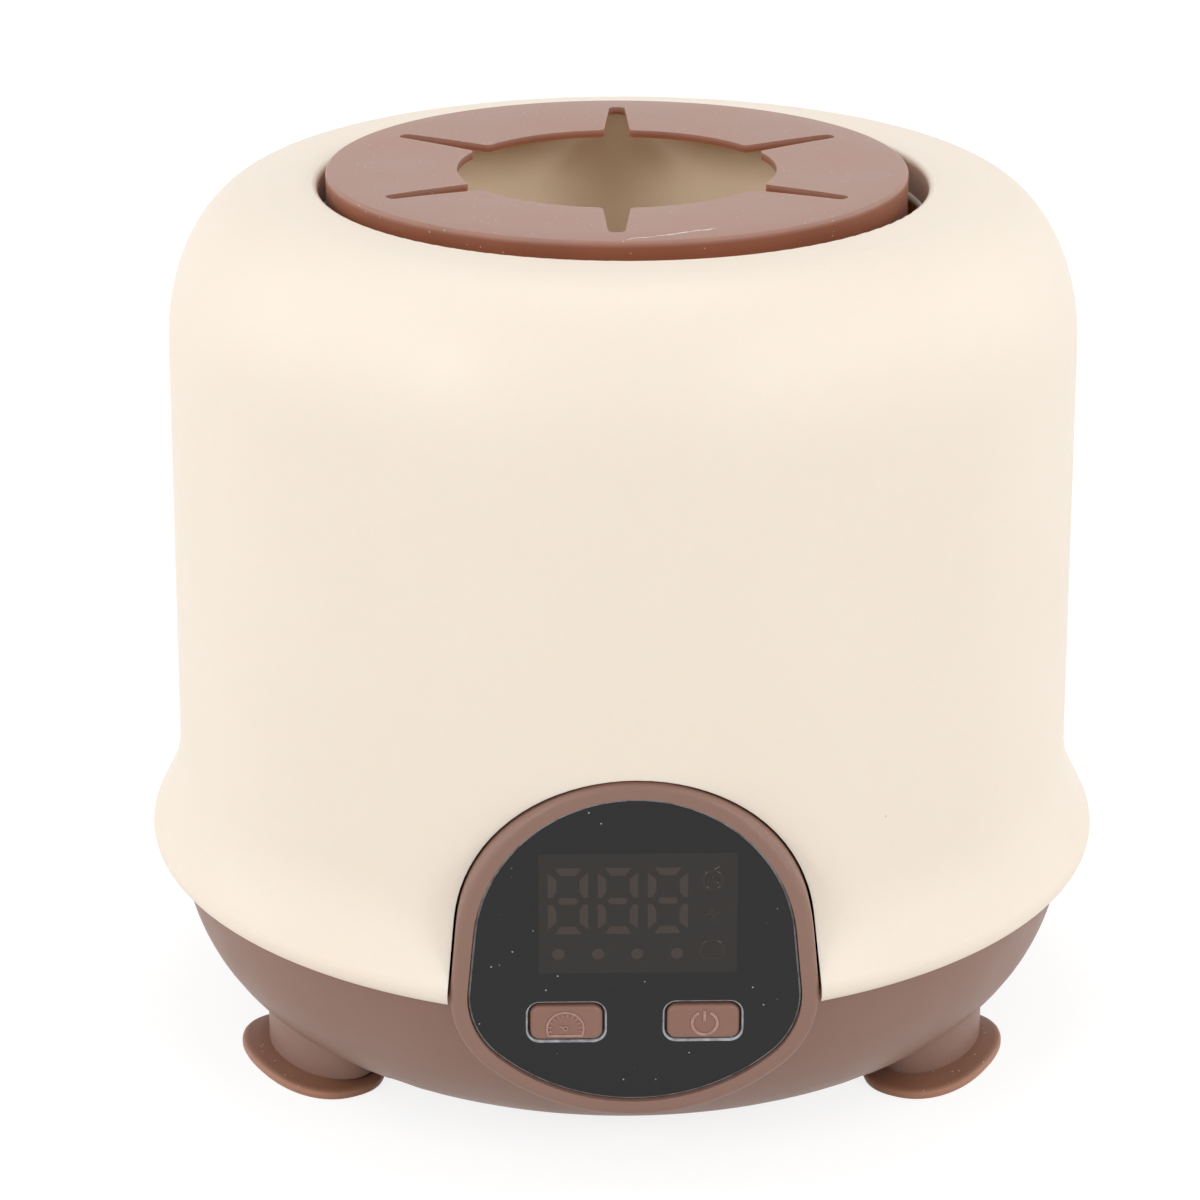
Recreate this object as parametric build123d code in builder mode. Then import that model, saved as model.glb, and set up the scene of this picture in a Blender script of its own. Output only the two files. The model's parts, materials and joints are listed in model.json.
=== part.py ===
from build123d import *

import os
from math import cos, hypot, radians, sin, sqrt

# Electric bottle mixer: a countertop shaker that swirls a feeding bottle held in a round cup.
# Millimetres. The origin is on the table under the axis of the body, +Z is up and the display looks along -Y.
# Azimuths are measured about the vertical axis from the front, positive towards +X.

# Clearances
RUNNING_FIT = 0.05      # radial, a shaft or pin that turns in its bush
SLIDING_GAP = 0.35      # around a push button
SCREW_FIT = 0.05        # radial, a screw in its pilot hole
LENS_FIT = 0.15         # around the display lens in its rebate
RIM_FIT = 0.3           # between the bowl's tongue and the shell's skirt
NOTCH_GAP = 0.35        # between the shell and the display frame
THRUST_GAP = 0.3        # under a turning shoulder
BOARD_SLIP = 0.2        # between the display module and the lens

# Outer shell
CROWN_Z = 127.5         # flat crown around the mouth
CROWN_LAND = 7.4        # flat ring from the mouth to where the crown rolls into the shoulder
SHOULDER_DROP = 22.5    # height of the shoulder's curve
WALL_TOP_INSET = 1.2    # wall inside the bowl's radius, at the shoulder
NECK_INSET = 0.45       # wall inside the bowl's radius, where it meets the flare
NECK_RISE = 11.8        # that corner above the seam
NECK_ROUND = 20.0
SKIRT_OVERHANG = 5.45   # beyond the bowl's radius, where the flare would meet the seam before rounding
SKIRT_ROUND = 2.34
SEAM_Z = 28.0           # lower edge of the shell
SHELL_WALL = 2.2
MOUTH_GAP = 0.6         # left between the mouth and the circling ring
MOUTH_LIP_ROUND = 0.8
COLLAR_WALL = 1.8       # tube that hangs from the mouth's edge
COLLAR_DEPTH = 6.5

# Base bowl
BOWL_FLOOR_Z = 3.5
BOWL_ROUND = 20.0       # width of the curve between the flat floor and the rim
BOWL_WALL = 2.2
TONGUE = 3.0            # height of the bowl's rim inside the skirt

# Display frame and lens, a tall arch on a shallow curved sole
PANEL_INSET = 0.5       # front face of the frame behind the bowl's radius
ARCH_RADIUS = 21.9
ARCH_RISE = 23.1        # arch's centre above the bottom of the lens
SIDE_LEAN = 5.7         # degrees that the sides flare outwards below the arch
SOLE_RADIUS = 28.7
LENS_DROP = 13.9        # bottom of the lens below the seam
LENS_CORNER_RADIUS = 11.5
BEZEL_WIDTH = 2.5
BEZEL_ROUND = 1.1
FRAME_DEPTH = 10.5
LEDGE = 1.2             # step that the lens rests on
LENS_RECESS = 0.5
LENS_THICKNESS = 2.0
LENS_CHAMFER = 0.3

# Push buttons and their switches
BUTTON_WIDTH = 9.85
BUTTON_HEIGHT = 5.0
BUTTON_CORNER = 1.3
BUTTON_X = 9.35
BUTTON_RISE = 11.9      # above the bottom of the lens
BUTTON_PROUD = 0.35      # above the face of the lens
BUTTON_EDGE_ROUND = 0.5
BUTTON_FLANGE = 1.0     # ledge behind the lens that keeps the button in
BUTTON_FLANGE_THICKNESS = 0.9
BUTTON_TRAVEL = 0.5
STEM_RADIUS = 1.6
SWITCH_SIZE = 6.0
SWITCH_HEIGHT = 3.5
PLUNGER_RADIUS = 1.5
PLUNGER_PROUD = 1.4
PLUNGER_SEAT = 1.2      # length of the plunger inside the switch

# Display module and control board
DISPLAY_HEIGHT = 17.8
DISPLAY_LIFT = 5.1      # centre above the arch's centre
DISPLAY_GAP = 1.8       # beside its upper corners, inside the ledge
BOARD_THICKNESS = 1.6
BOARD_MARGIN = 2.2      # board edge beyond the lens outline
HEADER_WIDTH = 16.0
HEADER_HEIGHT = 4.0
HEADER_DEPTH = 4.5
HEADER_RISE = 5.7       # above the bottom of the lens

# Feet
FOOT_STEP_ANGLE = 120.0
FOOT_INSET = 16.5       # feet's plugs inside the bowl's radius
PAD_SHIFT = 2.7         # middle of a pad beyond its plug
PAD_RADIAL = 9.3
PAD_TANGENT = 14.0
PAD_THICKNESS = 2.0
PAD_EDGE_ROUND = 0.7
SUCTION_RIM = 3.0
SUCTION_DEPTH = 0.8
SUCTION_TAPER = 60.0    # degrees, side of the hollow under the pad
LEG_SHIFT = 1.6         # middle of a leg beyond the plug
LEG_RADIAL = 6.6
LEG_TANGENT = 11.5
PLUG_RADIUS = 3.0
PLUG_HEAD_RADIUS = 4.4
PLUG_HEAD_HEIGHT = 1.8
PLUG_SEAT_RADIUS = 5.5
PLUG_SEAT_HEIGHT = 2.5  # seat above the inner floor

# Screws: pan heads with a hexagon socket
CASE_SCREW_INSET = 12.0     # case screws inside the bowl's radius
CASE_SCREW_FRONT_ANGLE = 35.0
CASE_SCREW_REAR_ANGLE = 120.0
CASE_BOSS_RADIUS = 4.5
CASE_BOSS_CAP = 2.4         # shell boss above its pilot hole
CASE_HEAD_DROP = 14.0       # screw's seat below the seam
CASE_SCREW_LENGTH = 25.0
SCREW_END_GAP = 1.6         # pilot hole beyond the screw's tip
GUSSET_THICKNESS = 2.4
LARGE_HEAD_RADIUS = 2.8
LARGE_HEAD_HEIGHT = 2.0
LARGE_SHANK_RADIUS = 1.45
SMALL_HEAD_RADIUS = 1.8
SMALL_HEAD_HEIGHT = 1.3
SMALL_SHANK_RADIUS = 0.9
BOARD_SCREW_LENGTH = 6.0
BOARD_SCREW_ARCH_ANGLE = 45.0   # degrees above the arch's centre
BOARD_SCREW_SOLE_ANGLE = 60.0   # degrees below the sole's centre
SOCKET_SHARE = 0.5              # hexagon socket, as a share of the head
HEAD_CLEARANCE = 0.4

# Motor and chassis
CHASSIS_THICKNESS = 3.0
CHASSIS_GAP = 1.5       # between the plate's rim and the case bosses
CHASSIS_RIM = 2.0
CHASSIS_RIM_DEPTH = 3.0
POST_FRONT_ANGLE = 45.0
POST_REAR_ANGLE = 107.0
POST_RADIUS = 4.2
POST_GAP = 0.8          # between a post and the plate's rim
CHASSIS_SCREW_LENGTH = 12.0
MOTOR_RADIUS = 14.0
MOTOR_LENGTH = 30.0
MOTOR_EDGE_ROUND = 1.5
MOTOR_NOSE_RADIUS = 5.0
MOTOR_CAP_STEP = 2.0    # end cap inside the can's radius
MOTOR_CAP_HEIGHT = 3.0
MOTOR_FLOOR_GAP = 1.3   # end cap above the bowl's floor
MOTOR_SCREW_RING = 9.0
MOTOR_SCREW_LENGTH = 6.0
TERMINAL_WIDTH = 4.0
TERMINAL_REACH = 3.0
SHAFT_RADIUS = 1.5
SHAFT_SEAT = 8.0        # length of the shaft inside the can

# Crank: an eccentric journal that carries the cup round a small circle
ORBIT_RADIUS = 1.4
REST_PHASE = 128.0      # degrees from +X towards +Y, where the crank stands at rest
HUB_GAP = 0.6           # flange above the heads of the motor screws
HUB_RADIUS = 9.0
HUB_FLANGE = 3.0
RACE_SEAT_RADIUS = 7.2
RACE_SEAT_HEIGHT = 0.8
JOURNAL_RADIUS = 6.0
JOURNAL_STANDOUT = 0.7  # above the bearing
COUNTERWEIGHT_GAP = 4.5 # inside the guide bosses
COUNTERWEIGHT_SPAN = 150.0
BEARING_RADIUS = 10.5
BEARING_WIDTH = 5.0
INNER_RACE = 1.6
OUTER_RACE = 1.3
SHIELD_DEPTH = 0.4

# Cup carrier and guide cranks
CARRIER_BOSS_WALL = 3.0
CARRIER_LIP = 2.0       # height of the lip over the bearing
CARRIER_LIP_WIDTH = 2.1
CARRIER_THICKNESS = 4.0
CARRIER_MARGIN = 1.9    # beyond the cup's floor
CARRIER_RIB_THICKNESS = 3.0
CARRIER_RIB_GAP = 3.0   # between a rib and the guide's bush
GUIDE_STEP_ANGLE = 120.0
GUIDE_INSET = 6.0       # guide pins inside the carrier's edge
GUIDE_BOSS_HEIGHT = 7.0
BUSH_WALL = 1.4
BUSH_BOSS_WALL = 2.0
GUIDE_JOURNAL_RADIUS = 3.0
GUIDE_PIN_RADIUS = 2.5
GUIDE_WEB_RADIUS = 6.2
GUIDE_WEB_THICKNESS = 2.4
GUIDE_PIN_END_GAP = 0.6

# Bottle cup and grip ring
CUP_MOUTH_RADIUS = 38.0
CUP_DRAFT = 2.5         # how much narrower the cup is at its floor
CUP_WALL = 1.6
CUP_FLOOR_THICKNESS = 5.2
CUP_INNER_ROUND = 5.0
CUP_OUTER_ROUND = 3.0
CUP_BAND = 9.0          # straight band under the rim, inside the ring's skirt
CUP_SCREW_RING = 21.0
CUP_SCREW_STEP_ANGLE = 120.0
CUP_SCREW_BITE = 3.8
RING_PROUD = 1.6        # ring's top above the crown
RING_WALL = 2.2
RING_PLATE = 1.1
RING_SKIRT = 7.6
RING_EDGE_ROUND = 0.7
RING_OPENING_RADIUS = 23.0
RING_FIT = 0.05
SLIT_COUNT = 6
SLIT_END_GAP = 1.0      # slits stop this far inside the cup's wall
SLIT_INNER_WIDTH = 3.9
SLIT_OUTER_WIDTH = 2.3
SLIT_CORNER = 0.8
SLIT_TURN = -1.5        # degrees, how the ring happens to sit on its cup

# Battery and charging
CELL_RADIUS = 9.25
CELL_LENGTH = 65.0
CELL_NUB_RADIUS = 3.0
CELL_NUB_HEIGHT = 1.2
CRADLE_FLOOR = 1.5
CRADLE_WALL = 1.8
CRADLE_BASE_WIDTH = 14.0
CRADLE_RELIEF = 4.9     # opening under each end of the cell
CRADLE_MOTOR_GAP = 4.75
CRADLE_END = 2.0
CRADLE_HEIGHT = 13.0
CRADLE_END_LIFT = 4.0   # the end walls start above the bowl's rising floor
CELL_FIT = 0.2
CHARGE_BOARD_WIDTH = 16.0
CHARGE_BOARD_LENGTH = 12.0
CHARGE_BOARD_GAP = 3.4  # between the board and the port's patch
CHARGE_BOARD_Z = 12.8
CHARGE_POST_RADIUS = 1.8
CHARGE_POST_INSET = 2.0
PORT_INSET = 4.1        # flat that the charging socket opens in, inside the bowl's radius
PORT_FLAT_WIDTH = 13.0
PORT_FLAT_HEIGHT = 7.4
PORT_FLAT_CORNER = 1.5
PORT_BOSS_MARGIN = 1.8
PORT_BOSS_DEPTH = 2.5
SOCKET_WIDTH = 8.94
SOCKET_HEIGHT = 3.26
SOCKET_LENGTH = 9.0
SOCKET_SKIN = 0.3
SOCKET_BACK = 1.0
TONGUE_WIDTH = 6.7
TONGUE_HEIGHT = 0.7
TONGUE_END = 1.0        # tongue behind the socket's mouth
SOCKET_GAP = 0.2

# Inner wiring
LEAD_RADIUS = 0.8
LEAD_PITCH = 5.0
LEAD_STUB = 10.0        # straight run out of a connector
LEAD_MOTOR_GAP = 8.0    # battery and charging leads beside the motor
LEAD_LIFT = 6.0         # charging lead above the battery cell
BEND_SHARE = 0.45       # share of a straight run that a bend may use up

# Battery and bowl: the cradle lies behind the motor, and its corners reach the edge of the bowl's flat floor
CRADLE_WIDTH = 2 * (CELL_RADIUS + CELL_FIT + CRADLE_WALL)
CRADLE_END_X = CELL_LENGTH / 2 + CELL_NUB_HEIGHT + CELL_FIT
CRADLE_BASE_X = CRADLE_END_X - CRADLE_RELIEF
CELL_Y = MOTOR_RADIUS + CRADLE_MOTOR_GAP + CRADLE_WIDTH / 2
BOWL_FLAT_RADIUS = hypot(CRADLE_BASE_X, CELL_Y + CRADLE_BASE_WIDTH / 2)
BOWL_RADIUS = BOWL_FLAT_RADIUS + BOWL_ROUND
BOWL_INNER_Z = BOWL_FLOOR_Z + BOWL_WALL
CELL_Z = BOWL_INNER_Z + CRADLE_FLOOR + CELL_RADIUS

# Cup, ring and shell: the mouth lets the ring circle, and the shell's wall follows the bowl
RING_TOP_Z = CROWN_Z + RING_PROUD
CUP_FLOOR_RADIUS = CUP_MOUTH_RADIUS - CUP_DRAFT
CUP_RIM_RADIUS = CUP_MOUTH_RADIUS + CUP_WALL
CUP_RIM_Z = RING_TOP_Z - RING_PLATE
RING_RADIUS = CUP_RIM_RADIUS + RING_FIT + RING_WALL
SLIT_END_RADIUS = CUP_MOUTH_RADIUS - SLIT_END_GAP
MOUTH_RADIUS = RING_RADIUS + ORBIT_RADIUS + MOUTH_GAP
CROWN_RADIUS = MOUTH_RADIUS + CROWN_LAND
SHOULDER_Z = CROWN_Z - SHOULDER_DROP
WALL_TOP_RADIUS = BOWL_RADIUS - WALL_TOP_INSET
NECK_RADIUS = BOWL_RADIUS - NECK_INSET
NECK_Z = SEAM_Z + NECK_RISE
SKIRT_CORNER_RADIUS = BOWL_RADIUS + SKIRT_OVERHANG
FOOT_RING = BOWL_RADIUS - FOOT_INSET
PLUG_SEAT_Z = BOWL_INNER_Z + PLUG_SEAT_HEIGHT
CASE_SCREW_RING = BOWL_RADIUS - CASE_SCREW_INSET
CASE_HEAD_Z = SEAM_Z - CASE_HEAD_DROP
CASE_PILOT_Z = CASE_HEAD_Z + CASE_SCREW_LENGTH + SCREW_END_GAP
CASE_BOSS_Z = CASE_PILOT_Z + CASE_BOSS_CAP

# Display panel, from the front of the frame inwards
PANEL_Y = PANEL_INSET - BOWL_RADIUS
PANEL_BACK_Y = PANEL_Y + FRAME_DEPTH
LENS_BOTTOM_Z = SEAM_Z - LENS_DROP
ARCH_CENTRE_Z = LENS_BOTTOM_Z + ARCH_RISE
LENS_FRONT_Y = PANEL_Y + LENS_RECESS
LENS_BACK_Y = LENS_FRONT_Y + LENS_THICKNESS
BOARD_BACK_Y = PANEL_BACK_Y + BOARD_THICKNESS
BUTTON_Z = LENS_BOTTOM_Z + BUTTON_RISE
SWITCH_FRONT_Y = PANEL_BACK_Y - SWITCH_HEIGHT
PLUNGER_FRONT_Y = SWITCH_FRONT_Y - PLUNGER_PROUD
DISPLAY_Z = ARCH_CENTRE_Z + DISPLAY_LIFT
DISPLAY_HALF_WIDTH = sqrt((ARCH_RADIUS - LEDGE) ** 2 - (DISPLAY_LIFT + DISPLAY_HEIGHT / 2) ** 2) - DISPLAY_GAP
HEADER_Z = LENS_BOTTOM_Z + HEADER_RISE

# Drive, from the bowl's floor upwards
MOTOR_CAP_RADIUS = MOTOR_RADIUS - MOTOR_CAP_STEP
MOTOR_CAP_Z = BOWL_INNER_Z + MOTOR_FLOOR_GAP
MOTOR_BOTTOM_Z = MOTOR_CAP_Z + MOTOR_CAP_HEIGHT
CHASSIS_Z = MOTOR_BOTTOM_Z + MOTOR_LENGTH
CHASSIS_TOP_Z = CHASSIS_Z + CHASSIS_THICKNESS
CHASSIS_RADIUS = CASE_SCREW_RING - CASE_BOSS_RADIUS - CHASSIS_GAP
POST_RING = CHASSIS_RADIUS - CHASSIS_RIM - POST_RADIUS - POST_GAP
HUB_Z = CHASSIS_TOP_Z + LARGE_HEAD_HEIGHT + HUB_GAP
HUB_TOP_Z = HUB_Z + HUB_FLANGE
BEARING_Z = HUB_TOP_Z + RACE_SEAT_HEIGHT
BEARING_TOP_Z = BEARING_Z + BEARING_WIDTH
JOURNAL_TOP_Z = BEARING_TOP_Z + JOURNAL_STANDOUT
CARRIER_Z = BEARING_TOP_Z + CARRIER_LIP
CARRIER_RADIUS = CUP_FLOOR_RADIUS + CUP_WALL + CARRIER_MARGIN
CUP_Z = CARRIER_Z + CARRIER_THICKNESS
CUP_FLOOR_Z = CUP_Z + CUP_FLOOR_THICKNESS
GUIDE_RING = CARRIER_RADIUS - GUIDE_INSET
GUIDE_BUSH_TOP_Z = CHASSIS_TOP_Z + GUIDE_BOSS_HEIGHT
LOWER_BUSH_BORE = GUIDE_JOURNAL_RADIUS + RUNNING_FIT
UPPER_BUSH_BORE = GUIDE_PIN_RADIUS + RUNNING_FIT
LOWER_BUSH_RADIUS = LOWER_BUSH_BORE + BUSH_WALL
UPPER_BUSH_RADIUS = UPPER_BUSH_BORE + BUSH_WALL
GUIDE_BOSS_RADIUS = LOWER_BUSH_RADIUS + BUSH_BOSS_WALL
CARRIER_RIB_REACH = GUIDE_RING - UPPER_BUSH_RADIUS - CARRIER_RIB_GAP
COUNTERWEIGHT_RADIUS = GUIDE_RING - GUIDE_BOSS_RADIUS - COUNTERWEIGHT_GAP
PIN_X = ORBIT_RADIUS * cos(radians(REST_PHASE))
PIN_Y = ORBIT_RADIUS * sin(radians(REST_PHASE))
CUP_PLANE = Plane(origin=(PIN_X, PIN_Y, 0), x_dir=(1, 0, 0), z_dir=(0, -1, 0))
CUP_AXIS = Axis((PIN_X, PIN_Y, 0), (0, 0, 1))

# Charging port, from the bowl's rear wall inwards
PORT_FACE_Y = BOWL_RADIUS - PORT_INSET
CHARGE_TOP_Z = CHARGE_BOARD_Z + BOARD_THICKNESS
SOCKET_Z = CHARGE_TOP_Z + SOCKET_HEIGHT / 2
CHARGE_BACK_Y = PORT_FACE_Y - PORT_BOSS_DEPTH - CHARGE_BOARD_GAP
CHARGE_FRONT_Y = CHARGE_BACK_Y - CHARGE_BOARD_LENGTH

# Azimuths of what stands in a ring
FOOT_AZIMUTHS = {"left": -FOOT_STEP_ANGLE / 2, "right": FOOT_STEP_ANGLE / 2, "rear": 1.5 * FOOT_STEP_ANGLE}
GUIDES = {"left": -GUIDE_STEP_ANGLE / 2, "right": GUIDE_STEP_ANGLE / 2, "rear": 1.5 * GUIDE_STEP_ANGLE}
CUP_SCREW_AZIMUTHS = (0, CUP_SCREW_STEP_ANGLE, 2 * CUP_SCREW_STEP_ANGLE)
CASE_SCREW_AZIMUTHS = (
    -CASE_SCREW_REAR_ANGLE,
    -CASE_SCREW_FRONT_ANGLE,
    CASE_SCREW_FRONT_ANGLE,
    CASE_SCREW_REAR_ANGLE,
)
POST_AZIMUTHS = (-POST_REAR_ANGLE, -POST_FRONT_ANGLE, POST_FRONT_ANGLE, POST_REAR_ANGLE)


def around(radius, azimuth):
    """Point at a radius and azimuth about the vertical axis."""
    return (radius * sin(radians(azimuth)), -radius * cos(radians(azimuth)))


def radial_plane(azimuth, z):
    """Level plane whose x runs outwards along an azimuth and whose y runs along the circle."""
    outwards = (sin(radians(azimuth)), -cos(radians(azimuth)), 0)
    return Plane(origin=(0, 0, z), x_dir=outwards, z_dir=(0, 0, 1))


def upright_plane(y):
    """Vertical plane that faces the front: local x is X and local y is Z."""
    return Plane(origin=(0, y, 0), x_dir=(1, 0, 0), z_dir=(0, -1, 0))


def panel_outline(grow, y):
    """Outline of the lens grown outwards: an arch, two leaning sides and a shallow curved sole."""
    lean = radians(SIDE_LEAN)
    arch = ARCH_RADIUS + grow
    sole = SOLE_RADIUS + grow
    arch_x = arch * cos(lean)
    arch_z = ARCH_CENTRE_Z + arch * sin(lean)
    # The side leaves the arch at a tangent and runs down until it meets the sole's circle.
    rise = arch_z - LENS_BOTTOM_Z - SOLE_RADIUS
    half = arch_x * sin(lean) - rise * cos(lean)
    run = sqrt(half**2 - arch_x**2 - rise**2 + sole**2) - half
    corner_x = arch_x + run * sin(lean)
    corner_z = arch_z - run * cos(lean)
    with BuildSketch(upright_plane(y)) as outline:
        with BuildLine():
            ThreePointArc((-arch_x, arch_z), (0, ARCH_CENTRE_Z + arch), (arch_x, arch_z))
            Line((arch_x, arch_z), (corner_x, corner_z))
            ThreePointArc((corner_x, corner_z), (0, LENS_BOTTOM_Z - grow), (-corner_x, corner_z))
            Line((-corner_x, corner_z), (-arch_x, arch_z))
        make_face()
        fillet(outline.vertices().group_by(Axis.Y)[0], radius=LENS_CORNER_RADIUS + grow)
    return outline.sketch


def screw_group(plane, points, head_radius, head_height, shank_radius, length, tip):
    """Screws on a plane through the underside of their heads; tip is +1 or -1 along its normal."""
    with BuildPart() as group:
        with BuildSketch(plane):
            with Locations(*points):
                Circle(head_radius)
        extrude(amount=-tip * head_height)
        with BuildSketch(plane):
            with Locations(*points):
                Circle(shank_radius)
        extrude(amount=tip * length)
        with BuildSketch(plane.offset(-tip * head_height)):
            with Locations(*points):
                RegularPolygon(head_radius * SOCKET_SHARE, 6)
        extrude(amount=tip * head_height * SOCKET_SHARE, mode=Mode.SUBTRACT)
    return group


def bend_radii(points):
    """Arc at each inner point of a route that uses up its share of the shorter straight run beside it."""
    radii = []
    for before, here, after in zip(points, points[1:], points[2:]):
        run_in = Vector(here) - Vector(before)
        run_out = Vector(after) - Vector(here)
        half_turn = radians(run_in.get_angle(run_out)) / 2
        radii.append(BEND_SHARE * min(run_in.length, run_out.length) * cos(half_turn) / sin(half_turn))
    return radii


def keep(piece, name):
    """Label a finished piece and write it to its own file."""
    piece.part.label = name
    export_step(piece.part, f"parts/{name}.step")


os.makedirs("parts", exist_ok=True)

case_screw_points = [around(CASE_SCREW_RING, azimuth) for azimuth in CASE_SCREW_AZIMUTHS]
post_points = [around(POST_RING, azimuth) for azimuth in POST_AZIMUTHS]
guide_points = [around(GUIDE_RING, azimuth) for azimuth in GUIDES.values()]
guide_pin_points = [(x + PIN_X, y + PIN_Y) for x, y in guide_points]
motor_screw_points = [(-MOTOR_SCREW_RING, 0), (MOTOR_SCREW_RING, 0)]
cup_screw_points = []
for azimuth in CUP_SCREW_AZIMUTHS:
    x, y = around(CUP_SCREW_RING, azimuth)
    cup_screw_points.append((x + PIN_X, y + PIN_Y))
charge_post_x = CHARGE_BOARD_WIDTH / 2 - CHARGE_POST_INSET
charge_post_points = [
    (side * charge_post_x, y)
    for side in (-1, 1)
    for y in (CHARGE_FRONT_Y + CHARGE_POST_INSET, CHARGE_BACK_Y - CHARGE_POST_INSET)
]

# The board screws sit in the middle of the frame's wall, two on the arch and two on the sole.
frame_middle = (BEZEL_WIDTH - LEDGE) / 2
board_screw_points = []
for side in (-1, 1):
    arch = ARCH_RADIUS + frame_middle
    sole = SOLE_RADIUS + frame_middle
    arch_angle = radians(BOARD_SCREW_ARCH_ANGLE)
    sole_angle = radians(BOARD_SCREW_SOLE_ANGLE)
    board_screw_points.append((side * arch * cos(arch_angle), ARCH_CENTRE_Z + arch * sin(arch_angle)))
    board_screw_points.append(
        (side * sole * cos(sole_angle), LENS_BOTTOM_Z + SOLE_RADIUS - sole * sin(sole_angle))
    )

# Outer shell: a turned profile, hollowed, with the mouth, its collar, the screw bosses and the display notch
with BuildPart() as outer_shell:
    with BuildSketch(Plane.XZ):
        with BuildLine():
            Line((0, CROWN_Z), (CROWN_RADIUS, CROWN_Z))
            EllipticalCenterArc(
                (CROWN_RADIUS, SHOULDER_Z),
                WALL_TOP_RADIUS - CROWN_RADIUS,
                CROWN_Z - SHOULDER_Z,
                start_angle=0,
            )
            FilletPolyline(
                (WALL_TOP_RADIUS, SHOULDER_Z),
                (NECK_RADIUS, NECK_Z),
                (SKIRT_CORNER_RADIUS, SEAM_Z),
                (0, SEAM_Z),
                radius=[NECK_ROUND, SKIRT_ROUND],
            )
            Line((0, SEAM_Z), (0, CROWN_Z))
        make_face()
    revolve(axis=Axis.Z)
    rim_inner = BOWL_RADIUS + RIM_FIT
    flare_slope = (SKIRT_CORNER_RADIUS - NECK_RADIUS) / (NECK_Z - SEAM_Z)
    rim_inner_z = NECK_Z - (rim_inner - NECK_RADIUS + SHELL_WALL) / flare_slope
    with BuildSketch(Plane.XZ):
        with BuildLine():
            Line((0, CROWN_Z - SHELL_WALL), (CROWN_RADIUS, CROWN_Z - SHELL_WALL))
            EllipticalCenterArc(
                (CROWN_RADIUS, SHOULDER_Z),
                WALL_TOP_RADIUS - SHELL_WALL - CROWN_RADIUS,
                CROWN_Z - SHELL_WALL - SHOULDER_Z,
                start_angle=0,
            )
            Polyline(
                (WALL_TOP_RADIUS - SHELL_WALL, SHOULDER_Z),
                (NECK_RADIUS - SHELL_WALL, NECK_Z),
                (rim_inner, rim_inner_z),
                (rim_inner, SEAM_Z),
                (0, SEAM_Z),
                (0, CROWN_Z - SHELL_WALL),
            )
        make_face()
    revolve(axis=Axis.Z, mode=Mode.SUBTRACT)
    with BuildSketch(Plane.XY.offset(CROWN_Z - SHELL_WALL)):
        Circle(MOUTH_RADIUS + COLLAR_WALL)
    extrude(amount=SHELL_WALL - COLLAR_DEPTH)
    with BuildSketch(Plane.XY.offset(CROWN_Z)):
        Circle(MOUTH_RADIUS)
    extrude(amount=-COLLAR_DEPTH, mode=Mode.SUBTRACT)
    crown_circles = outer_shell.edges().filter_by(GeomType.CIRCLE).group_by(Axis.Z)[-1]
    fillet(crown_circles.sort_by(SortBy.RADIUS)[0], radius=MOUTH_LIP_ROUND)
    with BuildSketch(Plane.XY.offset(SEAM_Z)):
        with Locations(*case_screw_points):
            Circle(CASE_BOSS_RADIUS)
    extrude(amount=CASE_BOSS_Z - SEAM_Z)
    gusset_z = SEAM_Z + TONGUE + RIM_FIT
    for azimuth in CASE_SCREW_AZIMUTHS:
        with BuildSketch(radial_plane(azimuth, gusset_z)):
            with Locations((CASE_SCREW_RING, 0)):
                Rectangle(
                    NECK_RADIUS - SHELL_WALL / 2 - CASE_SCREW_RING,
                    GUSSET_THICKNESS,
                    align=(Align.MIN, Align.CENTER),
                )
        extrude(amount=CASE_BOSS_Z - gusset_z)
    with BuildSketch(Plane.XY.offset(SEAM_Z)):
        with Locations(*case_screw_points):
            Circle(LARGE_SHANK_RADIUS + SCREW_FIT)
    extrude(amount=CASE_PILOT_Z - SEAM_Z, mode=Mode.SUBTRACT)
    extrude(
        panel_outline(BEZEL_WIDTH + NOTCH_GAP, -SKIRT_CORNER_RADIUS),
        amount=-SKIRT_CORNER_RADIUS - PANEL_BACK_Y,
        mode=Mode.SUBTRACT,
    )
keep(outer_shell, "outer_shell")

# Hollow of the bowl, less what stays standing in it: columns, posts and the charging port's thick patch
with BuildPart() as bowl_hollow:
    with BuildSketch(Plane.XZ):
        with BuildLine():
            Line((0, BOWL_INNER_Z), (BOWL_FLAT_RADIUS, BOWL_INNER_Z))
            EllipticalCenterArc(
                (BOWL_FLAT_RADIUS, SEAM_Z),
                BOWL_RADIUS - BOWL_WALL - BOWL_FLAT_RADIUS,
                SEAM_Z - BOWL_INNER_Z,
                start_angle=270,
            )
            Polyline(
                (BOWL_RADIUS - BOWL_WALL, SEAM_Z),
                (BOWL_RADIUS - BOWL_WALL, SEAM_Z + TONGUE),
                (0, SEAM_Z + TONGUE),
                (0, BOWL_INNER_Z),
            )
        make_face()
    revolve(axis=Axis.Z)
    with BuildSketch():
        with Locations(*case_screw_points):
            Circle(CASE_BOSS_RADIUS)
    extrude(amount=SEAM_Z, mode=Mode.SUBTRACT)
    with BuildSketch():
        with Locations(*post_points):
            Circle(POST_RADIUS)
    extrude(amount=SEAM_Z + TONGUE, mode=Mode.SUBTRACT)
    with BuildSketch():
        with Locations(*charge_post_points):
            Circle(CHARGE_POST_RADIUS)
    extrude(amount=CHARGE_BOARD_Z, mode=Mode.SUBTRACT)
    with BuildSketch(upright_plane(PORT_FACE_Y - PORT_BOSS_DEPTH)):
        with Locations((0, SOCKET_Z)):
            Rectangle(PORT_FLAT_WIDTH + 2 * PORT_BOSS_MARGIN, PORT_FLAT_HEIGHT + 2 * PORT_BOSS_MARGIN)
    extrude(amount=-PORT_BOSS_DEPTH - PORT_INSET, mode=Mode.SUBTRACT)

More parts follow.
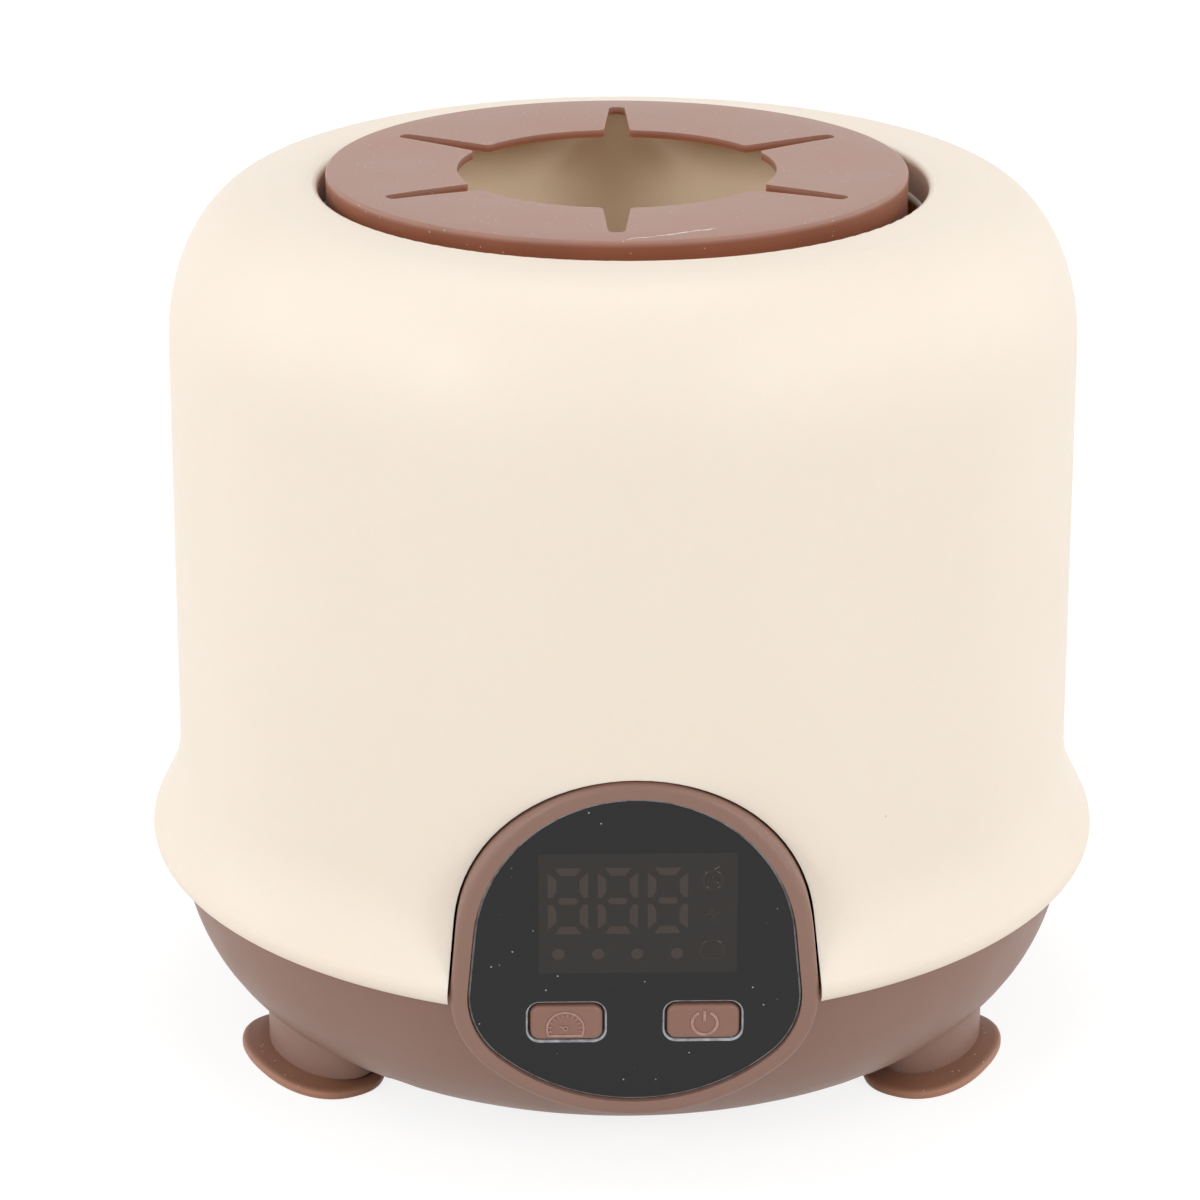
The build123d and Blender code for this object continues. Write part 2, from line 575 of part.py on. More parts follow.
# Base bowl: turned bowl on three oval legs, with the display frame, posts, screw holes and charging port
with BuildPart() as base_bowl:
    with BuildSketch(Plane.XZ):
        with BuildLine():
            Line((0, BOWL_FLOOR_Z), (BOWL_FLAT_RADIUS, BOWL_FLOOR_Z))
            EllipticalCenterArc(
                (BOWL_FLAT_RADIUS, SEAM_Z),
                BOWL_RADIUS - BOWL_FLAT_RADIUS,
                SEAM_Z - BOWL_FLOOR_Z,
                start_angle=270,
            )
            Polyline(
                (BOWL_RADIUS, SEAM_Z),
                (BOWL_RADIUS, SEAM_Z + TONGUE),
                (0, SEAM_Z + TONGUE),
                (0, BOWL_FLOOR_Z),
            )
        make_face()
    revolve(axis=Axis.Z)
    leg_top_z = (BOWL_FLOOR_Z + SEAM_Z) / 2
    for azimuth in FOOT_AZIMUTHS.values():
        with BuildSketch(radial_plane(azimuth, PAD_THICKNESS)):
            with Locations((FOOT_RING + LEG_SHIFT, 0)):
                Ellipse(LEG_RADIAL, LEG_TANGENT)
        extrude(amount=leg_top_z - PAD_THICKNESS)
    add(bowl_hollow.part, mode=Mode.SUBTRACT)
    foot_points = [around(FOOT_RING, azimuth) for azimuth in FOOT_AZIMUTHS.values()]
    with BuildSketch(Plane.XY.offset(BOWL_FLOOR_Z)):
        with Locations(*foot_points):
            Circle(PLUG_SEAT_RADIUS)
    extrude(amount=PLUG_SEAT_Z - BOWL_FLOOR_Z)
    with BuildSketch():
        with Locations(*foot_points):
            Circle(PLUG_RADIUS)
    extrude(amount=PLUG_SEAT_Z, mode=Mode.SUBTRACT)
    with BuildSketch(Plane.XY.offset(SEAM_Z)):
        with Locations(*post_points):
            Circle(POST_RADIUS)
    extrude(amount=CHASSIS_Z - SEAM_Z)
    with BuildSketch(Plane.XY.offset(CHASSIS_Z)):
        with Locations(*post_points):
            Circle(LARGE_SHANK_RADIUS + SCREW_FIT)
    extrude(amount=-CHASSIS_SCREW_LENGTH, mode=Mode.SUBTRACT)
    with BuildSketch():
        with Locations(*case_screw_points):
            Circle(LARGE_HEAD_RADIUS + HEAD_CLEARANCE)
    extrude(amount=CASE_HEAD_Z, mode=Mode.SUBTRACT)
    with BuildSketch():
        with Locations(*case_screw_points):
            Circle(LARGE_SHANK_RADIUS + SCREW_FIT)
    extrude(amount=SEAM_Z, mode=Mode.SUBTRACT)
    # The wall inside the display's outline gives way to the frame, a deep tube with a ledge for the lens.
    extrude(
        panel_outline(BEZEL_WIDTH, -SKIRT_CORNER_RADIUS),
        amount=-SKIRT_CORNER_RADIUS - PANEL_BACK_Y,
        mode=Mode.SUBTRACT,
    )
    extrude(panel_outline(BEZEL_WIDTH, PANEL_Y), amount=-FRAME_DEPTH)
    extrude(panel_outline(-LEDGE, PANEL_Y), amount=-FRAME_DEPTH, mode=Mode.SUBTRACT)
    extrude(panel_outline(LENS_FIT, PANEL_Y), amount=-LENS_RECESS - LENS_THICKNESS, mode=Mode.SUBTRACT)
    fillet(base_bowl.faces().sort_by(Axis.Y)[0].outer_wire().edges(), radius=BEZEL_ROUND)
    with BuildSketch(upright_plane(PANEL_BACK_Y)):
        with Locations(*board_screw_points):
            Circle(SMALL_SHANK_RADIUS + SCREW_FIT)
    extrude(amount=BOARD_SCREW_LENGTH - BOARD_THICKNESS, mode=Mode.SUBTRACT)
    # Charging port: a flat cut into the wall's thick patch and the socket's slot through it.
    with BuildSketch(upright_plane(PORT_FACE_Y)):
        with Locations((0, SOCKET_Z)):
            RectangleRounded(PORT_FLAT_WIDTH, PORT_FLAT_HEIGHT, PORT_FLAT_CORNER)
    extrude(amount=PORT_FACE_Y - BOWL_RADIUS, mode=Mode.SUBTRACT)
    with BuildSketch(upright_plane(PORT_FACE_Y - PORT_BOSS_DEPTH)):
        with Locations((0, SOCKET_Z)):
            SlotOverall(SOCKET_WIDTH + 2 * SOCKET_GAP, SOCKET_HEIGHT + 2 * SOCKET_GAP)
    extrude(amount=-PORT_BOSS_DEPTH, mode=Mode.SUBTRACT)
keep(base_bowl, "base_bowl")

# Suction feet: an oval silicone pad with a hollow underside and a plug pressed through its leg
for side, azimuth in FOOT_AZIMUTHS.items():
    with BuildPart() as suction_foot:
        with BuildSketch(radial_plane(azimuth, 0)):
            with Locations((FOOT_RING + PAD_SHIFT, 0)):
                Ellipse(PAD_RADIAL, PAD_TANGENT)
        extrude(amount=PAD_THICKNESS)
        fillet(suction_foot.edges().group_by(Axis.Z)[-1], radius=PAD_EDGE_ROUND)
        with BuildSketch(radial_plane(azimuth, PAD_THICKNESS)):
            with Locations((FOOT_RING, 0)):
                Circle(PLUG_RADIUS)
        extrude(amount=PLUG_SEAT_Z - PAD_THICKNESS)
        with BuildSketch(radial_plane(azimuth, PLUG_SEAT_Z)):
            with Locations((FOOT_RING, 0)):
                Circle(PLUG_HEAD_RADIUS)
        extrude(amount=PLUG_HEAD_HEIGHT)
        fillet(suction_foot.edges().group_by(Axis.Z)[-1], radius=PLUG_HEAD_HEIGHT / 2)
        with BuildSketch(radial_plane(azimuth, 0)):
            with Locations((FOOT_RING + PAD_SHIFT, 0)):
                Ellipse(PAD_RADIAL - SUCTION_RIM, PAD_TANGENT - SUCTION_RIM)
        extrude(amount=SUCTION_DEPTH, taper=SUCTION_TAPER, mode=Mode.SUBTRACT)
    keep(suction_foot, f"suction_foot_{side}")

# Display lens: a smoked plate with a hole for each button
with BuildPart() as display_lens:
    extrude(panel_outline(0, LENS_FRONT_Y), amount=-LENS_THICKNESS)
    with BuildSketch(upright_plane(LENS_FRONT_Y)):
        with Locations((-BUTTON_X, BUTTON_Z), (BUTTON_X, BUTTON_Z)):
            RectangleRounded(
                BUTTON_WIDTH + 2 * SLIDING_GAP, BUTTON_HEIGHT + 2 * SLIDING_GAP, BUTTON_CORNER + SLIDING_GAP
            )
    extrude(amount=-LENS_THICKNESS, mode=Mode.SUBTRACT)
    chamfer(display_lens.faces().sort_by(Axis.Y)[0].edges(), length=LENS_CHAMFER)
keep(display_lens, "display_lens")

# Display module: a light box between the lens and the board
with BuildPart() as display_module:
    with BuildSketch(upright_plane(PANEL_BACK_Y)):
        with Locations((0, DISPLAY_Z)):
            Rectangle(2 * DISPLAY_HALF_WIDTH, DISPLAY_HEIGHT)
    extrude(amount=PANEL_BACK_Y - LENS_BACK_Y - BOARD_SLIP)
keep(display_module, "display_module")

# Control board: the shape of the panel, closing the back of the frame
with BuildPart() as control_board:
    extrude(panel_outline(BOARD_MARGIN, PANEL_BACK_Y), amount=-BOARD_THICKNESS)
    with BuildSketch(upright_plane(PANEL_BACK_Y)):
        with Locations(*board_screw_points):
            Circle(SMALL_SHANK_RADIUS + SCREW_FIT)
    extrude(amount=-BOARD_THICKNESS, mode=Mode.SUBTRACT)
keep(control_board, "control_board")

board_screws = screw_group(
    upright_plane(BOARD_BACK_Y),
    board_screw_points,
    SMALL_HEAD_RADIUS,
    SMALL_HEAD_HEIGHT,
    SMALL_SHANK_RADIUS,
    BOARD_SCREW_LENGTH,
    tip=1,
)
keep(board_screws, "board_screws")

with BuildPart() as wire_header:
    with BuildSketch(upright_plane(BOARD_BACK_Y)):
        with Locations((0, HEADER_Z)):
            Rectangle(HEADER_WIDTH, HEADER_HEIGHT)
    extrude(amount=-HEADER_DEPTH)
keep(wire_header, "wire_header")

# Push buttons: a rounded cap through the lens, a flange behind it, and a stem on the switch's plunger
for use, x in (("speed", -BUTTON_X), ("power", BUTTON_X)):
    with BuildPart() as button:
        with BuildSketch(upright_plane(LENS_FRONT_Y - BUTTON_PROUD)):
            with Locations((x, BUTTON_Z)):
                RectangleRounded(BUTTON_WIDTH, BUTTON_HEIGHT, BUTTON_CORNER)
        extrude(amount=-BUTTON_PROUD - LENS_THICKNESS)
        fillet(button.faces().sort_by(Axis.Y)[0].edges(), radius=BUTTON_EDGE_ROUND)
        with BuildSketch(upright_plane(LENS_BACK_Y)):
            with Locations((x, BUTTON_Z)):
                RectangleRounded(
                    BUTTON_WIDTH + 2 * BUTTON_FLANGE,
                    BUTTON_HEIGHT + 2 * BUTTON_FLANGE,
                    BUTTON_CORNER + BUTTON_FLANGE,
                )
        extrude(amount=-BUTTON_FLANGE_THICKNESS)
        with BuildSketch(upright_plane(PLUNGER_FRONT_Y)):
            with Locations((x, BUTTON_Z)):
                Circle(STEM_RADIUS)
        extrude(amount=PLUNGER_FRONT_Y - LENS_BACK_Y - BUTTON_FLANGE_THICKNESS)
    keep(button, f"{use}_button")

    with BuildPart() as switch:
        with BuildSketch(upright_plane(PANEL_BACK_Y)):
            with Locations((x, BUTTON_Z)):
                Rectangle(SWITCH_SIZE, SWITCH_SIZE)
        extrude(amount=SWITCH_HEIGHT)
        with BuildSketch(upright_plane(SWITCH_FRONT_Y)):
            with Locations((x, BUTTON_Z)):
                Circle(PLUNGER_RADIUS + RUNNING_FIT)
        extrude(amount=-PLUNGER_SEAT - BUTTON_TRAVEL - THRUST_GAP, mode=Mode.SUBTRACT)
    keep(switch, f"{use}_switch")

    with BuildPart() as plunger:
        with BuildSketch(upright_plane(PLUNGER_FRONT_Y)):
            with Locations((x, BUTTON_Z)):
                Circle(PLUNGER_RADIUS)
        extrude(amount=-PLUNGER_PROUD - PLUNGER_SEAT)
    keep(plunger, f"{use}_plunger")

# Case screws: up through the bowl's bosses into the shell's
case_screws = screw_group(
    Plane.XY.offset(CASE_HEAD_Z),
    case_screw_points,
    LARGE_HEAD_RADIUS,
    LARGE_HEAD_HEIGHT,
    LARGE_SHANK_RADIUS,
    CASE_SCREW_LENGTH,
    tip=1,
)
keep(case_screws, "case_screws")

# Chassis plate: carries the motor below and the guide bosses above
with BuildPart() as chassis_plate:
    with BuildSketch(Plane.XY.offset(CHASSIS_Z)):
        Circle(CHASSIS_RADIUS)
    extrude(amount=CHASSIS_THICKNESS)
    with BuildSketch(Plane.XY.offset(CHASSIS_Z)):
        Circle(CHASSIS_RADIUS)
        Circle(CHASSIS_RADIUS - CHASSIS_RIM, mode=Mode.SUBTRACT)
    extrude(amount=-CHASSIS_RIM_DEPTH)
    with BuildSketch(Plane.XY.offset(CHASSIS_TOP_Z)):
        with Locations(*guide_points):
            Circle(GUIDE_BOSS_RADIUS)
    extrude(amount=GUIDE_BOSS_HEIGHT)
    with BuildSketch(Plane.XY.offset(CHASSIS_Z)):
        with Locations(*guide_points):
            Circle(LOWER_BUSH_RADIUS)
        with Locations(*post_points):
            Circle(LARGE_SHANK_RADIUS + SCREW_FIT)
        with Locations(*motor_screw_points):
            Circle(LARGE_SHANK_RADIUS + SCREW_FIT)
        Circle(MOTOR_NOSE_RADIUS + SCREW_FIT)
    extrude(amount=CHASSIS_THICKNESS + GUIDE_BOSS_HEIGHT, mode=Mode.SUBTRACT)
keep(chassis_plate, "chassis_plate")

chassis_screws = screw_group(
    Plane.XY.offset(CHASSIS_TOP_Z),
    post_points,
    LARGE_HEAD_RADIUS,
    LARGE_HEAD_HEIGHT,
    LARGE_SHANK_RADIUS,
    CHASSIS_SCREW_LENGTH,
    tip=-1,
)
keep(chassis_screws, "chassis_screws")

# Motor: steel can with a nose that centres it in the plate, plastic end cap, terminals and screws
with BuildPart() as motor_can:
    with BuildSketch(Plane.XY.offset(MOTOR_BOTTOM_Z)):
        Circle(MOTOR_RADIUS)
    extrude(amount=MOTOR_LENGTH)
    fillet(motor_can.edges(), radius=MOTOR_EDGE_ROUND)
    with BuildSketch(Plane.XY.offset(CHASSIS_Z)):
        Circle(MOTOR_NOSE_RADIUS)
    extrude(amount=CHASSIS_THICKNESS)
    with BuildSketch(Plane.XY.offset(CHASSIS_TOP_Z)):
        Circle(SHAFT_RADIUS + RUNNING_FIT)
    extrude(amount=-CHASSIS_THICKNESS - SHAFT_SEAT - THRUST_GAP, mode=Mode.SUBTRACT)
    with BuildSketch(Plane.XY.offset(CHASSIS_Z)):
        with Locations(*motor_screw_points):
            Circle(LARGE_SHANK_RADIUS + SCREW_FIT)
    extrude(amount=-MOTOR_SCREW_LENGTH, mode=Mode.SUBTRACT)
keep(motor_can, "motor_can")

with BuildPart() as motor_end_cap:
    with BuildSketch(Plane.XY.offset(MOTOR_CAP_Z)):
        Circle(MOTOR_CAP_RADIUS)
    extrude(amount=MOTOR_CAP_HEIGHT)
keep(motor_end_cap, "motor_end_cap")

terminal_y = -sqrt(MOTOR_CAP_RADIUS**2 - (LEAD_PITCH + TERMINAL_WIDTH / 2) ** 2) - TERMINAL_REACH
with BuildPart() as motor_terminals:
    with BuildSketch(Plane.XY.offset(MOTOR_CAP_Z)):
        with Locations((-LEAD_PITCH, terminal_y)):
            Rectangle(TERMINAL_WIDTH, -terminal_y, align=(Align.CENTER, Align.MIN))
        Circle(MOTOR_CAP_RADIUS, mode=Mode.SUBTRACT)
    extrude(amount=MOTOR_CAP_HEIGHT)
keep(motor_terminals, "motor_terminals")

motor_screws = screw_group(
    Plane.XY.offset(CHASSIS_TOP_Z),
    motor_screw_points,
    LARGE_HEAD_RADIUS,
    LARGE_HEAD_HEIGHT,
    LARGE_SHANK_RADIUS,
    MOTOR_SCREW_LENGTH,
    tip=-1,
)
keep(motor_screws, "motor_screws")

# Crank: the motor's shaft, the eccentric hub on it and the weight that balances the cup
with BuildPart() as motor_shaft:
    with BuildSketch(Plane.XY.offset(CHASSIS_Z - SHAFT_SEAT)):
        Circle(SHAFT_RADIUS)
    extrude(amount=JOURNAL_TOP_Z - CHASSIS_Z + SHAFT_SEAT)
keep(motor_shaft, "motor_shaft")

with BuildPart() as eccentric_hub:
    with BuildSketch(Plane.XY.offset(HUB_Z)):
        Circle(HUB_RADIUS)
    extrude(amount=HUB_FLANGE)
    with BuildSketch(Plane.XY.offset(HUB_TOP_Z)):
        with Locations((PIN_X, PIN_Y)):
            Circle(RACE_SEAT_RADIUS)
    extrude(amount=RACE_SEAT_HEIGHT)
    with BuildSketch(Plane.XY.offset(BEARING_Z)):
        with Locations((PIN_X, PIN_Y)):
            Circle(JOURNAL_RADIUS)
    extrude(amount=JOURNAL_TOP_Z - BEARING_Z)
    with BuildSketch(Plane.XY.offset(HUB_Z)):
        Circle(SHAFT_RADIUS)
    extrude(amount=JOURNAL_TOP_Z - HUB_Z, mode=Mode.SUBTRACT)
keep(eccentric_hub, "eccentric_hub")

weight_start = radians(REST_PHASE + 180 - COUNTERWEIGHT_SPAN / 2)
weight_plane = Plane(
    origin=(0, 0, HUB_Z),
    x_dir=(cos(weight_start), sin(weight_start), 0),
    z_dir=(sin(weight_start), -cos(weight_start), 0),
)
with BuildPart() as counterweight:
    with BuildSketch(weight_plane):
        with Locations((HUB_RADIUS, 0)):
            Rectangle(COUNTERWEIGHT_RADIUS - HUB_RADIUS, HUB_FLANGE, align=(Align.MIN, Align.MIN))
    revolve(axis=Axis.Z, revolution_arc=COUNTERWEIGHT_SPAN)
keep(counterweight, "counterweight")

# Crank bearing: a shielded ball bearing between the journal and the cup carrier
with BuildPart() as crank_bearing:
    with BuildSketch(Plane.XY.offset(BEARING_Z)):
        with Locations((PIN_X, PIN_Y)):
            Circle(BEARING_RADIUS)
            Circle(JOURNAL_RADIUS + RUNNING_FIT, mode=Mode.SUBTRACT)
    extrude(amount=BEARING_WIDTH)
    for z, inwards in ((BEARING_Z, 1), (BEARING_TOP_Z, -1)):
        with BuildSketch(Plane.XY.offset(z)):
            with Locations((PIN_X, PIN_Y)):
                Circle(BEARING_RADIUS - OUTER_RACE)
                Circle(JOURNAL_RADIUS + INNER_RACE, mode=Mode.SUBTRACT)
        extrude(amount=inwards * SHIELD_DEPTH, mode=Mode.SUBTRACT)
keep(crank_bearing, "crank_bearing")

# Cup carrier: a round platform with a bearing boss, ribs and three guide holes
with BuildPart() as cup_carrier:
    with BuildSketch(Plane.XY.offset(CARRIER_Z)):
        with Locations((PIN_X, PIN_Y)):
            Circle(CARRIER_RADIUS)
    extrude(amount=CARRIER_THICKNESS)
    for azimuth in CUP_SCREW_AZIMUTHS:
        rib_plane = radial_plane(azimuth + CUP_SCREW_STEP_ANGLE / 2, CARRIER_Z)
        with BuildSketch(Plane(origin=(PIN_X, PIN_Y, CARRIER_Z), x_dir=rib_plane.x_dir, z_dir=(0, 0, 1))):
            Rectangle(CARRIER_RIB_REACH, CARRIER_RIB_THICKNESS, align=(Align.MIN, Align.CENTER))
        extrude(amount=-CARRIER_LIP)
    with BuildSketch(Plane.XY.offset(BEARING_Z)):
        with Locations((PIN_X, PIN_Y)):
            Circle(BEARING_RADIUS + CARRIER_BOSS_WALL)
    extrude(amount=CARRIER_Z - BEARING_Z)
    with BuildSketch(Plane.XY.offset(BEARING_Z)):
        with Locations((PIN_X, PIN_Y)):
            Circle(BEARING_RADIUS)
    extrude(amount=BEARING_WIDTH, mode=Mode.SUBTRACT)
    with BuildSketch(Plane.XY.offset(BEARING_TOP_Z)):
        with Locations((PIN_X, PIN_Y)):
            Circle(BEARING_RADIUS - CARRIER_LIP_WIDTH)
    extrude(amount=CARRIER_LIP, mode=Mode.SUBTRACT)
    with BuildSketch(Plane.XY.offset(CARRIER_Z)):
        with Locations(*guide_pin_points):
            Circle(UPPER_BUSH_RADIUS)
        with Locations(*cup_screw_points):
            Circle(LARGE_SHANK_RADIUS + SCREW_FIT)
    extrude(amount=CARRIER_THICKNESS, mode=Mode.SUBTRACT)
    with BuildSketch(Plane.XY.offset(CARRIER_Z)):
        with Locations(*cup_screw_points):
            Circle(LARGE_HEAD_RADIUS + HEAD_CLEARANCE)
    extrude(amount=LARGE_HEAD_HEIGHT, mode=Mode.SUBTRACT)
keep(cup_carrier, "cup_carrier")

cup_screws = screw_group(
    Plane.XY.offset(CARRIER_Z + LARGE_HEAD_HEIGHT),
    cup_screw_points,
    LARGE_HEAD_RADIUS,
    LARGE_HEAD_HEIGHT,
    LARGE_SHANK_RADIUS,
    CARRIER_THICKNESS - LARGE_HEAD_HEIGHT + CUP_SCREW_BITE,
    tip=1,
)
keep(cup_screws, "cup_screws")

# Guide cranks: three small cranks in step with the motor's, so the cup circles without turning
with BuildPart() as lower_bushes:
    with BuildSketch(Plane.XY.offset(CHASSIS_Z)):
        with Locations(*guide_points):
            Circle(LOWER_BUSH_RADIUS)
            Circle(LOWER_BUSH_BORE, mode=Mode.SUBTRACT)
    extrude(amount=GUIDE_BUSH_TOP_Z - CHASSIS_Z)
keep(lower_bushes, "lower_bushes")

with BuildPart() as upper_bushes:
    with BuildSketch(Plane.XY.offset(CARRIER_Z)):
        with Locations(*guide_pin_points):
            Circle(UPPER_BUSH_RADIUS)
            Circle(UPPER_BUSH_BORE, mode=Mode.SUBTRACT)
    extrude(amount=CARRIER_THICKNESS)
keep(upper_bushes, "upper_bushes")

guide_web_z = GUIDE_BUSH_TOP_Z + THRUST_GAP
for side, azimuth in GUIDES.items():
    x, y = around(GUIDE_RING, azimuth)
    with BuildPart() as guide_crank:
        with BuildSketch(Plane.XY.offset(CHASSIS_Z)):
            with Locations((x, y)):
                Circle(GUIDE_JOURNAL_RADIUS)
        extrude(amount=guide_web_z - CHASSIS_Z)
        with BuildSketch(Plane.XY.offset(guide_web_z)):
            with Locations((x, y)):
                Circle(GUIDE_WEB_RADIUS)
        extrude(amount=GUIDE_WEB_THICKNESS)
        with BuildSketch(Plane.XY.offset(guide_web_z + GUIDE_WEB_THICKNESS)):
            with Locations((x + PIN_X, y + PIN_Y)):
                Circle(GUIDE_PIN_RADIUS)
        extrude(amount=CUP_Z - GUIDE_PIN_END_GAP - guide_web_z - GUIDE_WEB_THICKNESS)
    keep(guide_crank, f"guide_crank_{side}")

# Bottle cup: a turned, slightly tapered cup with a straight band under its rim
with BuildPart() as bottle_cup:
    with BuildSketch(CUP_PLANE):
        with BuildLine():
            FilletPolyline(
                (0, CUP_FLOOR_Z),
                (0, CUP_Z),
                (CUP_FLOOR_RADIUS + CUP_WALL, CUP_Z),
                (CUP_RIM_RADIUS, CUP_RIM_Z - CUP_BAND),
                (CUP_RIM_RADIUS, CUP_RIM_Z),
                (CUP_MOUTH_RADIUS, CUP_RIM_Z),
                (CUP_FLOOR_RADIUS, CUP_FLOOR_Z),
                (0, CUP_FLOOR_Z),
                radius=[0, 0, CUP_OUTER_ROUND, 0, 0, 0, CUP_INNER_ROUND],
                close=True,
            )
        make_face()
    revolve(axis=CUP_AXIS)
    with BuildSketch(Plane.XY.offset(CUP_Z)):
        with Locations(*cup_screw_points):
            Circle(LARGE_SHANK_RADIUS + SCREW_FIT)
    extrude(amount=CUP_SCREW_BITE, mode=Mode.SUBTRACT)
keep(bottle_cup, "bottle_cup")

# Grip ring: a silicone cap over the cup's rim whose slit top gives way to the bottle
slit_taper = (SLIT_INNER_WIDTH - SLIT_OUTER_WIDTH) / (SLIT_END_RADIUS - RING_OPENING_RADIUS)
slit_root_width = SLIT_INNER_WIDTH + slit_taper * RING_OPENING_RADIUS
with BuildPart() as grip_ring:
    with BuildSketch(Plane.XY.offset(RING_TOP_Z)):
        with Locations((PIN_X, PIN_Y)):
            Circle(RING_RADIUS)
    extrude(amount=-RING_SKIRT)
    fillet(grip_ring.edges().group_by(Axis.Z)[-1], radius=RING_EDGE_ROUND)
    with BuildSketch(Plane.XY.offset(CUP_RIM_Z)):
        with Locations((PIN_X, PIN_Y)):
            Circle(CUP_RIM_RADIUS + RING_FIT)
    extrude(amount=RING_PLATE - RING_SKIRT, mode=Mode.SUBTRACT)
    with BuildSketch(Plane(origin=(PIN_X, PIN_Y, RING_TOP_Z))) as opening:
        Circle(RING_OPENING_RADIUS)
        with PolarLocations(0, SLIT_COUNT, start_angle=90 + SLIT_TURN):
            Polygon(
                (0, -slit_root_width / 2),
                (SLIT_END_RADIUS, -SLIT_OUTER_WIDTH / 2),
                (SLIT_END_RADIUS, SLIT_OUTER_WIDTH / 2),
                (0, slit_root_width / 2),
            )
        fillet(opening.vertices(), radius=SLIT_CORNER)
    extrude(amount=-RING_PLATE, mode=Mode.SUBTRACT)
keep(grip_ring, "grip_ring")

# Battery: a round cell lying in a cradle on the bowl's floor, behind the motor
cell_end_x = CELL_LENGTH / 2
with BuildPart() as battery_cell:
    with BuildSketch(Plane.YZ.offset(-cell_end_x)):
        with Locations((CELL_Y, CELL_Z)):
            Circle(CELL_RADIUS)
    extrude(amount=CELL_LENGTH)
    with BuildSketch(Plane.YZ.offset(cell_end_x)):
        with Locations((CELL_Y, CELL_Z)):
            Circle(CELL_NUB_RADIUS)
    extrude(amount=CELL_NUB_HEIGHT)
keep(battery_cell, "battery_cell")

with BuildPart() as battery_cradle:
    with BuildSketch(Plane.XY.offset(BOWL_INNER_Z)):
        with Locations((0, CELL_Y)):
            Rectangle(2 * CRADLE_BASE_X, CRADLE_BASE_WIDTH)
    extrude(amount=CRADLE_END_LIFT)
    with BuildSketch(Plane.XY.offset(BOWL_INNER_Z + CRADLE_END_LIFT)):
        with Locations((0, CELL_Y)):
            Rectangle(2 * (CRADLE_END_X + CRADLE_END), CRADLE_WIDTH)
    extrude(amount=CRADLE_HEIGHT - CRADLE_END_LIFT)
    with BuildSketch(Plane.YZ.offset(-CRADLE_END_X)):
        with Locations((CELL_Y, CELL_Z)):
            Circle(CELL_RADIUS + CELL_FIT)
            Rectangle(2 * (CELL_RADIUS + CELL_FIT), CRADLE_HEIGHT, align=(Align.CENTER, Align.MIN))
    extrude(amount=2 * CRADLE_END_X, mode=Mode.SUBTRACT)
keep(battery_cradle, "battery_cradle")

# Charging: a small board on four posts with the socket that opens in the bowl's rear wall
with BuildPart() as charge_board:
    with BuildSketch(Plane.XY.offset(CHARGE_BOARD_Z)):
        with Locations((0, CHARGE_BACK_Y)):
            Rectangle(CHARGE_BOARD_WIDTH, CHARGE_BOARD_LENGTH, align=(Align.CENTER, Align.MAX))
    extrude(amount=BOARD_THICKNESS)
keep(charge_board, "charge_board")

with BuildPart() as charge_socket:
    with BuildSketch(upright_plane(PORT_FACE_Y)):
        with Locations((0, SOCKET_Z)):
            SlotOverall(SOCKET_WIDTH, SOCKET_HEIGHT)
    extrude(amount=SOCKET_LENGTH)
    with BuildSketch(upright_plane(PORT_FACE_Y)):
        with Locations((0, SOCKET_Z)):
            SlotOverall(SOCKET_WIDTH - 2 * SOCKET_SKIN, SOCKET_HEIGHT - 2 * SOCKET_SKIN)
    extrude(amount=SOCKET_LENGTH - SOCKET_BACK, mode=Mode.SUBTRACT)
    with BuildSketch(upright_plane(PORT_FACE_Y - TONGUE_END)):
        with Locations((0, SOCKET_Z)):
            Rectangle(TONGUE_WIDTH, TONGUE_HEIGHT)
    extrude(amount=SOCKET_LENGTH - TONGUE_END - SOCKET_BACK / 2)
keep(charge_socket, "charge_socket")

# Inner wiring: each lead leaves the header square to it and is bent along gentle arcs to its end
header_y = BOARD_BACK_Y + HEADER_DEPTH
terminal_z = MOTOR_CAP_Z + MOTOR_CAP_HEIGHT / 2
cradle_front_y = CELL_Y - CRADLE_WIDTH / 2
cradle_lead_z = BOWL_INNER_Z + (CRADLE_END_LIFT + CRADLE_HEIGHT) / 2
lead_swing = MOTOR_RADIUS + LEAD_MOTOR_GAP
lead_lift_z = CELL_Z + CELL_RADIUS + LEAD_LIFT
charge_lead_y = CHARGE_FRONT_Y + CHARGE_BOARD_LENGTH / 3
lead_routes = {
    "motor_lead": [
        (-LEAD_PITCH, header_y, HEADER_Z),
        (-LEAD_PITCH, header_y + LEAD_STUB, HEADER_Z),
        (-LEAD_PITCH, terminal_y - LEAD_STUB, terminal_z),
        (-LEAD_PITCH, terminal_y, terminal_z),
    ],
    "battery_lead": [
        (LEAD_PITCH, header_y, HEADER_Z),
        (LEAD_PITCH, header_y + LEAD_STUB, HEADER_Z),
        (lead_swing, -lead_swing, cradle_lead_z),
        (lead_swing, cradle_front_y, cradle_lead_z),
    ],
    "charge_lead": [
        (0, header_y, HEADER_Z),
        (0, header_y + LEAD_STUB, HEADER_Z),
        (-lead_swing, -lead_swing, HEADER_Z),
        (-lead_swing, CELL_Y - CELL_RADIUS - LEAD_STUB, lead_lift_z),
        (-lead_swing / 2, CELL_Y, lead_lift_z),
        (-LEAD_PITCH, charge_lead_y, CHARGE_TOP_Z + LEAD_STUB),
        (-LEAD_PITCH, charge_lead_y, CHARGE_TOP_Z),
    ],
}

for name, route in lead_routes.items():
    with BuildPart() as lead:
        with BuildLine() as path:
            FilletPolyline(*route, radius=bend_radii(route))
        with BuildSketch(Plane(origin=route[0], z_dir=Vector(*route[1]) - Vector(*route[0]))):
            Circle(LEAD_RADIUS)
        sweep(path=path.wires()[0])
    keep(lead, name)
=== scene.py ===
import json
from math import radians

